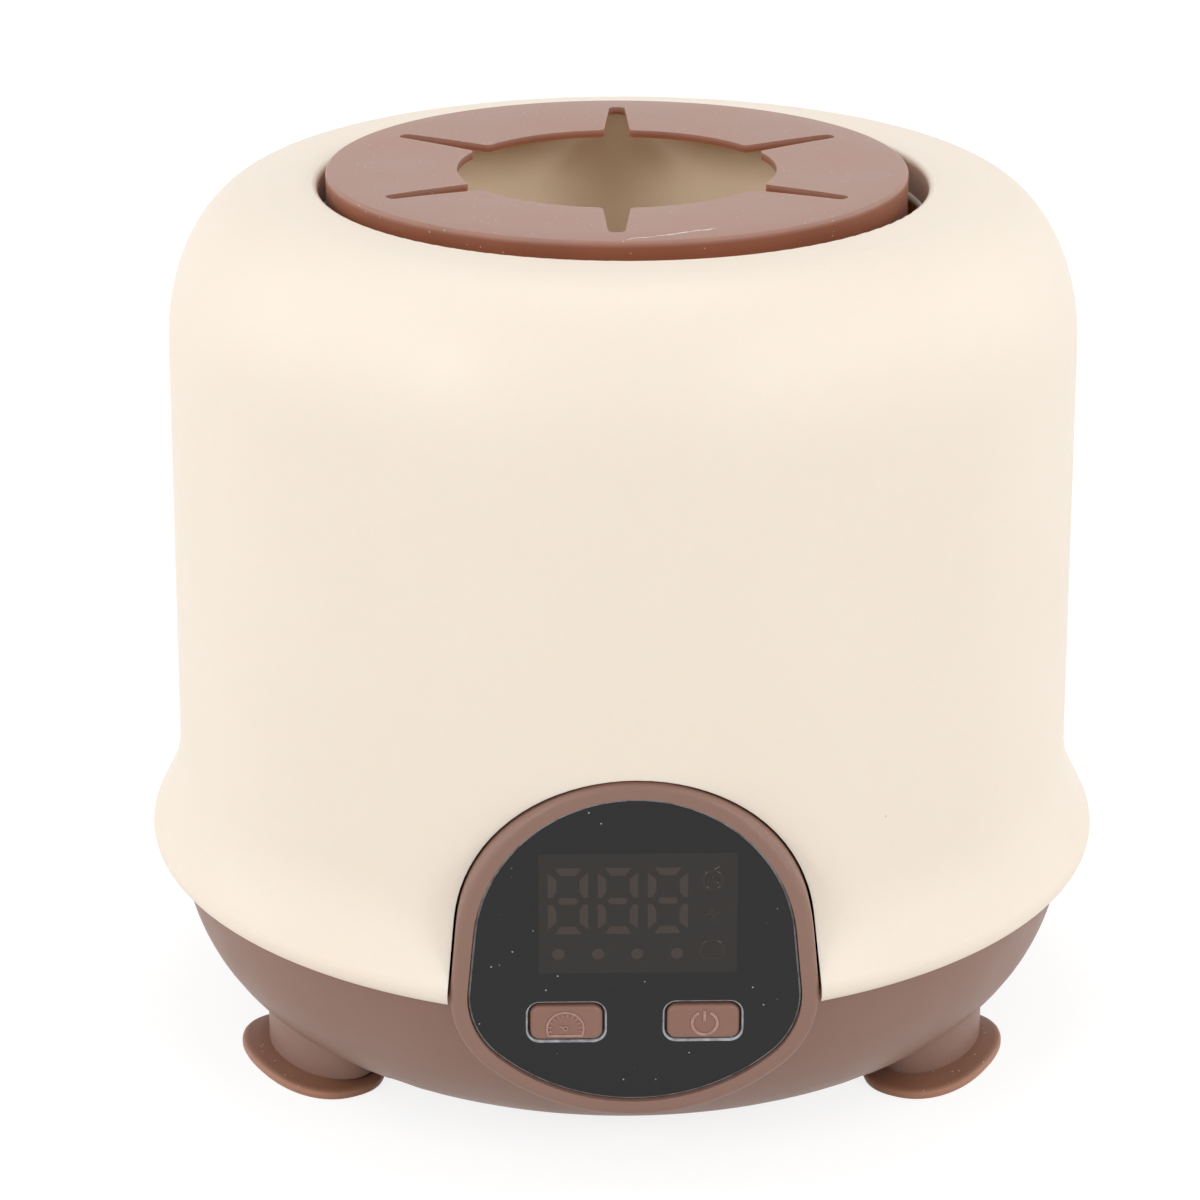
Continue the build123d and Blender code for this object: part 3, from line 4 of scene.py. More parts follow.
import bmesh
import bpy
import numpy as np
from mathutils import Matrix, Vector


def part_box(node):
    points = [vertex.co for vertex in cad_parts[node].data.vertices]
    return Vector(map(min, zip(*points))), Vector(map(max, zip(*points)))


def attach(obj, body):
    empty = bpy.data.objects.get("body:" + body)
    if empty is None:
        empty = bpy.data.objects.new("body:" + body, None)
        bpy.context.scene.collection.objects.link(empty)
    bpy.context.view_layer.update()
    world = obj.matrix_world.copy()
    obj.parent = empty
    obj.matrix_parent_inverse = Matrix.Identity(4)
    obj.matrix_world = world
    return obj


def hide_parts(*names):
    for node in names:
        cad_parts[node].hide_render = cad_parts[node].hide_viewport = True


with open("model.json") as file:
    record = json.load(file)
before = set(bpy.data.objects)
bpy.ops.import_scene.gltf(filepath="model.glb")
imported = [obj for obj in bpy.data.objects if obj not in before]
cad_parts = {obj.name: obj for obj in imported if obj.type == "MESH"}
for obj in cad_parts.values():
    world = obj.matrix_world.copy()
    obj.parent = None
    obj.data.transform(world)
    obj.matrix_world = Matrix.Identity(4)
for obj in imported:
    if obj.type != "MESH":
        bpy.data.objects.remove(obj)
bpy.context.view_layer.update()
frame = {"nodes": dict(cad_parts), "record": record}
nodes = frame["nodes"]

# Sizes are in millimetres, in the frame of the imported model. The display looks along -Y.
MM = 0.001
WELD = 0.0005
SHARP_ANGLE = 32

# Sizes of the grip ring
RING_CENTRE = (-0.862, 1.103)
RING_OPENING = 23.0
RING_INNER = 39.65
RING_OUTER = 41.85
RING_PLATE = 1.1
RING_EDGE = 0.5
RING_HEM = 0.25
# Depth of the ring's paler top colour, which is painted reflection mixed with dust
RING_PAINTED_TOP_BAND = 0.7
EDGE_STEPS = 7
FLAPS = 6
FLAP_CORNER = 0.8
FLAP_SAG = 0.25
FLAP_STEPS = (45, 40)
SLIT_END = 37.0
SLIT_HALF = (1.95, 1.15)
SLIT_ROUND = 1.2
SLIT_ROUNDNESS = 2.6
SLIT_TURN = -1.5

# Sizes of the suction feet
FOOT_RING = 50.51
FOOT_AZIMUTHS = {"left": -60.0, "right": 60.0, "rear": 180.0}
PAD_SHIFT = 2.7
PAD_SLIP = -1.0
PAD_HALF = (8.7, 14.3)
PAD_SQUARENESS = 2.3
PAD_HOLLOW = 0.8
PAD_TOP = 1.99
PAD_EDGE_LEVEL = 1.25
PAD_STEPS = 97
PLUG_RADIUS = 3.0
PLUG_SEAT = 8.2
PLUG_HEAD_RADIUS = 4.4
PLUG_TOP = 10.0

# Sizes of the bead in the mouth
MOUTH_RADIUS = 43.85
MOUTH_STEPS = 181
MOUTH_BEAD_Z = 121.7
MOUTH_BEAD_HALF = (0.45, 0.7)
MOUTH_BEAD_STEPS = 17

# Sizes of the display's print
WINDOW = (-13.05, 13.85, 33.4, 51.2)
PRINT_DEPTH = 0.02
DIGIT_LEFTS = (-11.8, -5.05, 1.7)
DIGIT_LOW = 39.3
DIGIT_SIZE = (5.45, 9.8)
SEGMENT_WIDTH = 1.15
FLAT_INSETS = (0.9, 1.7)
MIDDLE_INSETS = (1.35, 1.65)
MIDDLE_HALF = 0.48
UPRIGHT_DROPS = (0.7, 1.72, 3.5, 4.4)
UPRIGHT_FOOT = 0.65
DOT_XS = (-10.4, -5.0, 0.3, 5.7)
DOT_Z = 36.3
DOT_RADIUS = 0.82
ICON_X = 10.5
ICON_LINE = 0.3
CLOCK_Z = 47.1
CLOCK_RADIUS = 1.35
CLOCK_HANDS = ((0, 0.9), (0, 0), (0.7, -0.5))
CLOCK_KNOB = ((0.2, 1.5), (0.9, 2.0))
BOLT_Z = 42.2
BOLT_OUTLINE = ((0.3, 1.4), (-1.2, -0.25), (-0.15, -0.2), (-0.4, -1.4), (1.2, 0.3), (0.15, 0.25))
GAUGE_Z = 36.6
GAUGE_RADIUS = 1.6
GAUGE_SPAN = (-45, 225)
GAUGE_CHORD = ((-1.1, -1.13), (1.1, -1.13))

# Sizes of the key symbols
EMBOSS_HEIGHT = 0.14
EMBOSS_ROOT = 0.02
DIAL_OFFSET = (-0.15, -0.85)
DIAL_RADIUS = 2.5
DIAL_CUT = 24.0
DIAL_LINE = 0.46
FINE_LINE = 0.24
HUB_OFFSET = (0.05, 0.1)
HUB_RADIUS = 0.3
NEEDLE = ((-0.25, 0.2), (-0.8, 0.45))
TICKS = 12
TICK_SPAN = (-10, 190)
TICK_DEPTHS = (0.2, 0.62)
POWER_OFFSET = (0.2, -0.15)
POWER_RADIUS = 1.72
POWER_SPAN = (116, 424)
POWER_STEM = ((0, 0.35), (0, 1.95))
POWER_LINE = 0.6

# Studio, in metres and degrees
FLOOR_REACH = 3.0
BODY_MIDDLE = (0.0, 0.0, 0.07)
CAMERA_PLACE = (-0.014735, -0.52398, 0.25939)
CAMERA_TILT = 69.44
CAMERA_PAN = -1.249
FOCAL_LENGTH = 112.14
SENSOR_WIDTH = 36

# A cloudy pattern mostly lies between these values
NOISE_SPREAD = (0.3, 0.7)

lens_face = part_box("display_lens")[0].y / MM
key_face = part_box("speed_button")[0].y / MM
ring_low, ring_high = (corner.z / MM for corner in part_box("grip_ring"))


# Shader building blocks
def linear(hex_colour):
    """An sRGB hex value as linear red, green, blue and alpha."""
    channels = np.array([int(hex_colour[i:i + 2], 16) for i in (1, 3, 5)]) / 255
    curve = np.where(channels <= 0.04045, channels / 12.92, ((channels + 0.055) / 1.055) ** 2.4)
    return (*curve.tolist(), 1.0)


def add(tree, kind, inputs, **settings):
    """Adds a shader node with its settings, sets or links its inputs and returns its outputs."""
    made = tree.nodes.new("ShaderNode" + kind)
    for setting, value in settings.items():
        setattr(made, setting, value)
    for socket, value in inputs.items():
        if isinstance(value, bpy.types.NodeSocket):
            tree.links.new(value, made.inputs[socket])
        else:
            made.inputs[socket].default_value = value
    return made.outputs


def empty_tree(owner):
    """The shader tree of a material or world, with nothing in it."""
    owner.use_nodes = True
    owner.node_tree.nodes.clear()
    return owner.node_tree


def new_material(name):
    """An empty material, its tree and its Object coordinates."""
    material = bpy.data.materials.new(name)
    tree = empty_tree(material)
    return material, tree, add(tree, "TexCoord", {})["Object"]


def finish_material(tree, inputs):
    """Principled surface as the material's output."""
    surface = add(tree, "BsdfPrincipled", inputs)
    add(tree, "OutputMaterial", {"Surface": surface[0]})


def noise(tree, place, size, detail, distortion=0.0):
    """Cloudy pattern with features of a given size in millimetres."""
    inputs = {"Vector": place, "Scale": 1 / (size * MM), "Detail": detail, "Distortion": distortion}
    return add(tree, "TexNoise", inputs)[0]


def blend(tree, share, first, second):
    """A share from 0 to 1 of the way from one colour to another."""
    return add(tree, "Mix", {0: share, 6: first, 7: second}, data_type="RGBA")[2]


def ramp(tree, value, start, end, low=0.0, high=1.0):
    """Maps start to end onto low to high, level outside them."""
    return add(tree, "MapRange", {0: value, 1: start, 2: end, 3: low, 4: high})[0]


def uneven(tree, pattern, low, high):
    """Spreads a cloudy pattern over low to high."""
    return ramp(tree, pattern, *NOISE_SPREAD, low, high)


def calculate(tree, operation, *values):
    """One step of arithmetic."""
    return add(tree, "Math", dict(enumerate(values)), operation=operation)[0]


def relief(tree, strength, depth, height, invert=False):
    """Fine surface relief of a given depth in millimetres."""
    inputs = {"Strength": strength, "Distance": depth * MM, "Height": height}
    return add(tree, "Bump", inputs, invert=invert)[0]


def specks(tree, place, spacing, radius, share):
    """Mask of round specks: cells of a Voronoi pattern, of which only a share shows a dot at its point."""
    cells = add(tree, "TexVoronoi", {"Vector": place, "Scale": 1 / (spacing * MM)})
    dot = ramp(tree, cells["Distance"], radius / spacing, 0.5 * radius / spacing)
    picked = add(tree, "SeparateColor", {0: cells["Color"]})
    lucky = calculate(tree, "GREATER_THAN", picked[0], 1 - share)
    return calculate(tree, "MULTIPLY", dot, lucky)


def scratched(tree, place, colour, start, turn, length):
    """A pale, patchy, wandering scratch over a colour, from a start point along a turn in degrees."""
    line = add(tree, "Mapping", {
        "Vector": place,
        "Location": (start[0] * MM, start[1] * MM, 0),
        "Rotation": (0, 0, radians(turn)),
    }, vector_type="TEXTURE")
    axes = add(tree, "SeparateXYZ", {0: line[0]})
    bend = calculate(tree, "ADD", noise(tree, place, size=3, detail=2.0), -0.5)
    across = calculate(tree, "MULTIPLY_ADD", bend, 2.2 * MM, axes[1])
    thin = ramp(tree, calculate(tree, "ABSOLUTE", across), 0.18 * MM, 0.07 * MM)
    begun = ramp(tree, axes[0], 0, 1.5 * MM)
    ended = ramp(tree, axes[0], length * MM, (length - 1) * MM)
    between = calculate(tree, "MULTIPLY", begun, ended)
    patchy = ramp(tree, noise(tree, place, size=0.9, detail=2.0), 0.3, 0.55, 0.25, 1.0)
    shown = calculate(tree, "MULTIPLY", between, patchy)
    mask = calculate(tree, "MULTIPLY", thin, shown)
    return blend(tree, mask, colour, linear("#f0ebe6"))


# Materials
def satin_abs(name, colour, flow_colour, roughness, grain, scuff_colour, scuff_share, glow=0.0):
    """Moulded ABS from an etched mould: soft sheen over a fine pebble grain, faint cloudy flow in the
    colour and a few tiny scuffs. The grain of about 0.1 mm is drawn at grain millimetres so that it shows.
    A pale wall lets some light through, which the glow gives."""
    material, tree, place = new_material(name)
    flow = noise(tree, place, size=38, detail=2.0)
    tint = blend(tree, flow, linear(colour), linear(flow_colour))
    scuff = specks(tree, place, spacing=9.0, radius=0.22, share=scuff_share)
    pebble = noise(tree, place, size=grain, detail=3.0)
    rubbed = noise(tree, place, size=14, detail=3.0)
    finish_material(tree, {
        "Base Color": blend(tree, scuff, tint, linear(scuff_colour)),
        "Roughness": uneven(tree, rubbed, roughness - 0.05, roughness + 0.06),
        "IOR": 1.53,
        "Normal": relief(tree, strength=0.12, depth=0.05, height=pebble),
        "Subsurface Weight": glow,
        "Subsurface Radius": (1.0, 0.72, 0.5),
        "Subsurface Scale": 2.2 * MM,
    })
    return material


def moulded_polypropylene(name, colour, flow_colour, roughness):
    """Moulded polypropylene: waxy and slightly milky, with upright drag lines left by the mould's core."""
    material, tree, place = new_material(name)
    drawn = add(tree, "Mapping", {"Vector": place, "Scale": (1.0, 1.0, 0.04)})
    drag = noise(tree, drawn[0], size=0.9, detail=3.0)
    flow = noise(tree, place, size=25, detail=2.0)
    finish_material(tree, {
        "Base Color": blend(tree, flow, linear(colour), linear(flow_colour)),
        "Roughness": uneven(tree, drag, roughness - 0.06, roughness + 0.08),
        "IOR": 1.49,
        "Normal": relief(tree, strength=0.1, depth=0.04, height=drag),
        "Subsurface Weight": 0.08,
        "Subsurface Radius": (1.0, 0.7, 0.45),
        "Subsurface Scale": 1.2 * MM,
    })
    return material


def matt_silicone(name, top_colour, side_colour, level, roughness, lint_share, scratch=None):
    """Compression-moulded silicone: matt and slightly see-through, so that thin edges glow warmer, with a
    fine dry grain, soft blotches where it has been handled and white lint that sticks to it. Above the level
    it takes the top colour and below it the side colour, a painted difference in light between top and
    sides. A scratch has a start, a turn and a length."""
    material, tree, place = new_material(name)
    axes = add(tree, "SeparateXYZ", {0: place})
    # Painted light: the colour steps from the side colour to the top colour at the level
    painted_light_split = ramp(tree, axes[2], (level - 0.25) * MM, (level + 0.25) * MM)
    face = blend(tree, painted_light_split, linear(side_colour), linear(top_colour))
    blotch = noise(tree, place, size=11, detail=3.0)
    grain = noise(tree, place, size=0.5, detail=4.0)
    tint = add(tree, "HueSaturation", {"Value": uneven(tree, blotch, 0.94, 1.05), "Color": face})
    lint = specks(tree, place, spacing=1.0, radius=0.12, share=lint_share)
    colour = blend(tree, lint, tint[0], linear("#e6d6c8"))
    if scratch:
        colour = scratched(tree, place, colour, *scratch)
    finish_material(tree, {
        "Base Color": colour,
        "Roughness": uneven(tree, blotch, roughness - 0.05, roughness + 0.07),
        "IOR": 1.41,
        "Normal": relief(tree, strength=0.15, depth=0.04, height=grain),
        "Sheen Weight": 0.1,
        "Sheen Roughness": 0.45,
        "Subsurface Weight": 0.35,
        "Subsurface Radius": (1.0, 0.5, 0.3),
        "Subsurface Scale": 1.6 * MM,
    })
    return material


def smoked_acrylic(name, colour, smear_colour, edge_colour, roughness):
    """Polished smoked acrylic: near black, reflecting its surroundings, with finger smears in the gloss,
    lint on its face and a bevelled edge coloured an uneven pale grey and made rougher."""
    material, tree, place = new_material(name)
    smear = noise(tree, place, size=9, detail=4.0, distortion=1.2)
    tint = blend(tree, smear, linear(colour), linear(smear_colour))
    dusty = blend(tree, specks(tree, place, spacing=1.5, radius=0.14, share=0.3), tint, linear("#aeb0b2"))
    axes = add(tree, "SeparateXYZ", {0: place})
    bevel = ramp(tree, axes[1], (lens_face + 0.02) * MM, (lens_face + 0.08) * MM)
    bevel_patchiness = ramp(tree, noise(tree, place, size=1.6, detail=3.0), 0.3, 0.6, 0.5, 1.0)
    pale_bevel_share = calculate(tree, "MULTIPLY", bevel, bevel_patchiness)
    gloss = ramp(tree, smear, 0.35, 0.7, roughness, roughness + 0.12)
    finish_material(tree, {
        "Base Color": blend(tree, pale_bevel_share, dusty, linear(edge_colour)),
        "Roughness": calculate(tree, "MULTIPLY_ADD", pale_bevel_share, 0.4, gloss),
        "IOR": 1.44,
    })
    return material


def display_film(name, colour, shade_colour):
    """Printed film seen through smoked acrylic: a dark tint under a polished face, slightly uneven ink."""
    material, tree, place = new_material(name)
    ink = noise(tree, place, size=2.2, detail=3.0)
    finish_material(tree, {
        "Base Color": blend(tree, ink, linear(colour), linear(shade_colour)),
        "Roughness": uneven(tree, ink, 0.14, 0.22),
        "IOR": 1.45,
    })
    return material


def painted_light_relief(name, colour, painted_shade_colour):
    """Raised lines on an ABS key, coloured by their height above the key's face: painted shade darkens the
    foot of each line and a painted highlight makes its top pale. The tops are also glossier."""
    material, tree, place = new_material(name)
    axes = add(tree, "SeparateXYZ", {0: place})
    foot = (key_face - 0.2 * EMBOSS_HEIGHT) * MM
    top = (key_face - EMBOSS_HEIGHT) * MM
    patchy = ramp(tree, noise(tree, place, size=0.8, detail=3.0), 0.3, 0.6, 0.6, 1.0)
    # This mask paints the highlight on the tops and the shade at the feet; it also makes the tops glossier
    rubbed = calculate(tree, "MULTIPLY", ramp(tree, axes[1], foot, top), patchy)
    finish_material(tree, {
        "Base Color": blend(tree, rubbed, linear(painted_shade_colour), linear(colour)),
        "Roughness": ramp(tree, rubbed, 0.0, 1.0, 0.6, 0.4),
        "IOR": 1.53,
    })
    return material


def solder_masked_board(name, colour, trace_colour):
    """Glass-fibre board under green solder mask: copper runs show through as paler lines."""
    material, tree, place = new_material(name)
    runs = add(tree, "TexBrick", {
        "Vector": place,
        "Scale": 1 / (12 * MM),
        "Mortar Size": 0.03,
        "Color1": linear(colour),
        "Color2": linear(colour),
        "Mortar": linear(trace_colour),
    })
    finish_material(tree, {
        "Base Color": runs[0],
        "Roughness": uneven(tree, noise(tree, place, size=0.8, detail=2.0), 0.3, 0.45),
        "IOR": 1.5,
        "Normal": relief(tree, strength=0.2, depth=0.03, height=runs[1]),
    })
    return material


def moulded_nylon(name, colour, fibre_colour, roughness):
    """Moulded nylon: dry and slightly streaked where its filler flowed."""
    material, tree, place = new_material(name)
    flow = noise(tree, place, size=4, detail=4.0, distortion=1.5)
    fibre = noise(tree, place, size=0.7, detail=3.0)
    finish_material(tree, {
        "Base Color": blend(tree, flow, linear(colour), linear(fibre_colour)),
        "Roughness": uneven(tree, fibre, roughness - 0.06, roughness + 0.08),
        "IOR": 1.53,
        "Normal": relief(tree, strength=0.15, depth=0.04, height=fibre),
    })
    return material


def plated_steel(name, colour, dull_colour, roughness):
    """Zinc-plated steel: bright and cool, with fine drawing lines and duller patches in the plating."""
    material, tree, place = new_material(name)
    drawn = add(tree, "Mapping", {"Vector": place, "Scale": (1.0, 1.0, 0.08)})
    lines = noise(tree, drawn[0], size=0.3, detail=3.0)
    patches = noise(tree, place, size=3, detail=3.0)
    finish_material(tree, {
        "Base Color": blend(tree, patches, linear(colour), linear(dull_colour)),
        "Metallic": 1.0,
        "Roughness": uneven(tree, lines, roughness - 0.08, roughness + 0.1),
        "Normal": relief(tree, strength=0.1, depth=0.02, height=lines),
    })
    return material


def sintered_bronze(name, colour, pore_colour):
    """Sintered bronze: a warm dull metal, peppered with the dark pores that hold its oil."""
    material, tree, place = new_material(name)
    pores = specks(tree, place, spacing=0.5, radius=0.14, share=0.6)
    finish_material(tree, {
        "Base Color": blend(tree, pores, linear(colour), linear(pore_colour)),
        "Metallic": 1.0,
        "Roughness": 0.42,
        "Normal": relief(tree, strength=0.3, depth=0.03, height=pores, invert=True),
    })
    return material


def stretched_vinyl(name, colour, shade_colour, roughness, ripple):
    """Soft vinyl drawn tight, on a cell's sleeve or a wire: an even gloss over faint ripples."""
    material, tree, place = new_material(name)
    waves = noise(tree, place, size=ripple, detail=2.0)
    finish_material(tree, {
        "Base Color": blend(tree, waves, linear(colour), linear(shade_colour)),
        "Roughness": uneven(tree, waves, roughness - 0.05, roughness + 0.08),
        "IOR": 1.52,
        "Normal": relief(tree, strength=0.15, depth=0.05, height=waves),
    })
    return material


finishes = {
    "shell_plastic": satin_abs(
        "cream_abs", "#f6eadc", "#f3e5d4", roughness=0.5, grain=0.55,
        scuff_colour="#cdb9a2", scuff_share=0.3, glow=0.3,
    ),
    "bowl_plastic": satin_abs(
        "brown_abs", "#8d6b5d", "#886658", roughness=0.46, grain=0.5,
        scuff_colour="#b8a499", scuff_share=0.5,
    ),
    "button_plastic": satin_abs(
        "brown_key_abs", "#8c6657", "#876153", roughness=0.44, grain=0.4,
        scuff_colour="#b8a398", scuff_share=0.3,
    ),
    "cup_plastic": moulded_polypropylene("cream_polypropylene", "#fdecd4", "#fbe7ca", roughness=0.36),
    # The ring's top colour is paler than its side colour: painted reflection of the pale surroundings at a
    # grazing angle, mixed with dust
    "ring_silicone": matt_silicone(
        "brown_silicone", "#a17868", "#93563b", level=ring_high - RING_PAINTED_TOP_BAND, roughness=0.42,
        lint_share=0.25, scratch=((-1.0, -39.8), 24.0, 14.0),
    ),
    # The feet's side colour is paler than their top: painted light on the edge band
    "foot_silicone": matt_silicone(
        "red_brown_silicone", "#885d47", "#ae7f67", level=PAD_EDGE_LEVEL, roughness=0.5, lint_share=0.4,
    ),
    "lens_plastic": smoked_acrylic("smoked_acrylic", "#050505", "#080808", "#c0c5cc", roughness=0.12),
    "display_plastic": display_film("dark_display_film", "#201a14", "#1c1712"),
    "circuit_board": solder_masked_board("green_masked_board", "#0f4a24", "#2a6a3c"),
    "connector_plastic": moulded_nylon("natural_nylon", "#e6e0cf", "#dcd5c1", roughness=0.45),
    "switch_plastic": moulded_nylon("black_nylon", "#1c1b1b", "#242322", roughness=0.42),
    "chassis_plastic": moulded_nylon("grey_filled_nylon", "#b4b3ad", "#a5a49e", roughness=0.5),
    "steel": plated_steel("zinc_plated_steel", "#c6c9cc", "#b3b6b9", roughness=0.3),
    "bronze": sintered_bronze("sintered_bronze", "#b98a4e", "#5a3f22"),
    "cell_can": stretched_vinyl("blue_shrink_sleeve", "#27539b", "#214a8c", roughness=0.32, ripple=3.0),
    "lead_red": stretched_vinyl("red_wire_vinyl", "#a81f22", "#971a1e", roughness=0.4, ripple=1.2),
    "lead_black": stretched_vinyl("black_wire_vinyl", "#1a1a1b", "#222223", roughness=0.4, ripple=1.2),
}
segment_ink = display_film("dim_segment_film", "#3c302a", "#382c26")
icon_ink = display_film("faint_icon_film", "#2a211b", "#261e18")
# Key symbols: painted highlight on their tops, painted shade at their feet
key_relief = painted_light_relief("painted_light_key_relief", "#b08b7c", "#6a4b3f")
for part in frame["record"]["subparts"]:
    nodes[part["node"]].material_slots[0].material = finishes[part["material_slot"]]


# Mesh building blocks
def piece(name, grids, material, body, stands_for=()):
    """One mesh from grids of points in millimetres: each grid's neighbours make quads, and grids that share
    an edge are welded there. Rows that end in one point close to triangles."""
    corners, quads, start = [], [], 0
    for grid in grids:
        index = start + np.arange(grid.shape[0] * grid.shape[1]).reshape(grid.shape[:2])
        around = np.stack([index[:-1, :-1], index[1:, :-1], index[1:, 1:], index[:-1, 1:]], axis=-1)
        corners.append(grid.reshape(-1, 3) * MM)
        quads.append(around.reshape(-1, 4))
        start += index.size
    mesh = bpy.data.meshes.new(name)
    mesh.from_pydata(np.concatenate(corners).tolist(), [], np.concatenate(quads).tolist())
    shape = bmesh.new()
    shape.from_mesh(mesh)
    bmesh.ops.remove_doubles(shape, verts=shape.verts, dist=WELD * MM)
    bmesh.ops.recalc_face_normals(shape, faces=shape.faces)
    shape.to_mesh(mesh)
    shape.free()
    mesh.shade_smooth()
    mesh.set_sharp_from_angle(angle=radians(SHARP_ANGLE))
    mesh.materials.append(material)
    made = bpy.data.objects.new(name, mesh)
    bpy.context.scene.collection.objects.link(made)
    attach(made, body)
    if stands_for:
        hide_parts(*stands_for)


def turned(radii, heights, angles, centre):
    """Surface of revolution: each profile point carried round a circle about a vertical line."""
    x = centre[0] + radii * np.cos(angles)
    y = centre[1] + radii * np.sin(angles)
    return np.stack([x, y, np.broadcast_to(heights, x.shape)], axis=-1)


def plate(outline, front, back):
    """Closed flat plate: an outline of x and z points swept front to back, each end drawn to its middle."""
    ring = np.vstack([outline, outline[:1]])
    middle = np.broadcast_to(outline.mean(axis=0), ring.shape)
    rows = ((middle, front), (ring, front), (ring, back), (middle, back))
    return np.stack([np.stack([row[:, 0], np.full(len(row), y), row[:, 1]], axis=-1) for row, y in rows])


def bead(path, width, front, back, closed=False):
    """Raised line: a flat-topped section carried along a path of x and z points, pointed at open ends."""
    if closed:
        step = np.roll(path, -1, axis=0) - np.roll(path, 1, axis=0)
        path, step = np.vstack([path, path[:1]]), np.vstack([step, step[:1]])
        fullness = np.ones(len(path))
    else:
        step = np.gradient(path, axis=0)
        path, step = (np.vstack([line[:1], line, line[-1:]]) for line in (path, step))
        fullness = np.concatenate([[0], np.ones(len(path) - 2), [0]])
    sideways = np.stack([-step[:, 1], step[:, 0]], axis=-1) / np.hypot(*step.T)[:, None]
    section = ((1, back), (0.6, front), (-0.6, front), (-1, back), (1, back))
    middle = (front + back) / 2
    rows = []
    for share, y in section:
        line = path + sideways * (share * width / 2 * fullness)[:, None]
        rows.append(np.stack([line[:, 0], middle + (y - middle) * fullness, line[:, 1]], axis=-1))
    return np.stack(rows)


def arc(centre, radius, start, end, steps):
    """Points along a circle in x and z; degrees count from the right towards the top."""
    turn = np.radians(np.linspace(start, end, steps))
    return np.stack([centre[0] + radius * np.cos(turn), centre[1] + radius * np.sin(turn)], axis=-1)


def circle(centre, radius, steps):
    """Points all round a circle in x and z, without the first one again."""
    return arc(centre, radius, 0, 360 - 360 / steps, steps)


# Grip ring
def slit_half(radius):
    """Half a slit's width: a straight taper that closes in a rounded end."""
    share = (radius - RING_OPENING) / (SLIT_END - RING_OPENING)
    taper = SLIT_HALF[0] + (SLIT_HALF[1] - SLIT_HALF[0]) * share
    into_end = np.clip((radius - SLIT_END + SLIT_ROUND) / SLIT_ROUND, 0, 1)
    return taper * (1 - into_end**SLIT_ROUNDNESS) ** (1 / SLIT_ROUNDNESS)


across = 0.5 - 0.5 * np.cos(np.linspace(0, np.pi, FLAP_STEPS[0]))
outwards = np.sin(np.linspace(0, np.pi / 2, FLAP_STEPS[1]))
flap_length = SLIT_END - RING_OPENING
flap_pitch = 2 * np.pi / FLAPS
flap_width = RING_OPENING * (flap_pitch - 2 * np.arcsin(SLIT_HALF[0] / RING_OPENING))
corner_share = np.clip(1 - np.minimum(across, 1 - across) * flap_width / FLAP_CORNER, 0, 1)
corner_cut = FLAP_CORNER * (1 - np.sqrt(1 - corner_share**2))
flap_radii = RING_OPENING + flap_length * outwards + corner_cut[:, None] * (1 - outwards) ** 3
flap_sag = FLAP_SAG * ((SLIT_END - flap_radii) / flap_length) ** 2
half_angle = flap_pitch / 2 - np.arcsin(slit_half(flap_radii) / flap_radii)
flap_middles = flap_pitch * np.arange(FLAPS) + radians(SLIT_TURN)
ring_grids = []
for middle in flap_middles:
    angles = middle + (2 * across[:, None] - 1) * half_angle
    top = turned(flap_radii, ring_high - flap_sag, angles, RING_CENTRE)
    under = turned(flap_radii, ring_high - RING_PLATE - flap_sag, angles, RING_CENTRE)
    inner_wall = np.stack([top[:, 0], under[:, 0]])
    slit_walls = [np.stack([top[side], under[side]]) for side in (0, -1)]
    ring_grids += [top, under, inner_wall, *slit_walls]
quarter = np.linspace(0, np.pi / 2, EDGE_STEPS)
rim_radii = np.concatenate([
    [SLIT_END],
    RING_OUTER - RING_EDGE + RING_EDGE * np.sin(quarter),
    RING_OUTER - RING_HEM + RING_HEM * np.cos(quarter),
    RING_INNER + RING_HEM - RING_HEM * np.sin(quarter),
    [RING_INNER, SLIT_END],
])
rim_heights = np.concatenate([
    [ring_high],
    ring_high - RING_EDGE + RING_EDGE * np.cos(quarter),
    ring_low + RING_HEM - RING_HEM * np.sin(quarter),
    ring_low + RING_HEM - RING_HEM * np.cos(quarter),
    [ring_high - RING_PLATE, ring_high - RING_PLATE],
])
flap_turns = flap_middles[:, None] + (2 * across[:-1] - 1) * flap_pitch / 2
full_turn = np.append(flap_turns.ravel(), flap_turns[0, 0] + 2 * np.pi)
ring_grids.append(turned(rim_radii[:, None], rim_heights[:, None], full_turn[None, :], RING_CENTRE))
piece("slit_grip_ring", ring_grids, finishes["ring_silicone"], "ring", ["grip_ring"])

# Suction feet
pad_rows = np.array([
    # Inset from the oval's edge and height: hollow, sole, thin rim, slope up to the leg
    (4.6, PAD_HOLLOW), (4.3, 0.76), (3.2, 0.1), (3.0, 0.0),
    (0.4, 0.0), (0.12, 0.1), (0.0, 0.35), (0.0, 0.8), (0.08, 1.05), (0.25, 1.24), (0.5, 1.38),
    (1.0, 1.5), (2.2, 1.76), (3.0, PAD_TOP),
])
plug_rows = np.array([
    # Radius and height: stem, barbed head, closed top
    (PLUG_RADIUS, PAD_TOP), (PLUG_RADIUS, PLUG_SEAT),
    (PLUG_HEAD_RADIUS, PLUG_SEAT), (PLUG_HEAD_RADIUS, PLUG_SEAT + 0.9),
    (PLUG_HEAD_RADIUS - 0.5, PLUG_TOP - 0.3), (PLUG_HEAD_RADIUS - 1.2, PLUG_TOP), (0.0, PLUG_TOP),
])
inset, pad_heights = pad_rows.T[:, :, None]
plug_radii, plug_heights = plug_rows.T[:, :, None]
pad_turn = np.linspace(0, 2 * np.pi, PAD_STEPS)[None, :]
cosine, sine = np.cos(pad_turn), np.sin(pad_turn)
oval_out = np.sign(cosine) * np.abs(cosine) ** (2 / PAD_SQUARENESS)
oval_side = np.sign(sine) * np.abs(sine) ** (2 / PAD_SQUARENESS)
hollow_middle = np.zeros(pad_turn.shape)
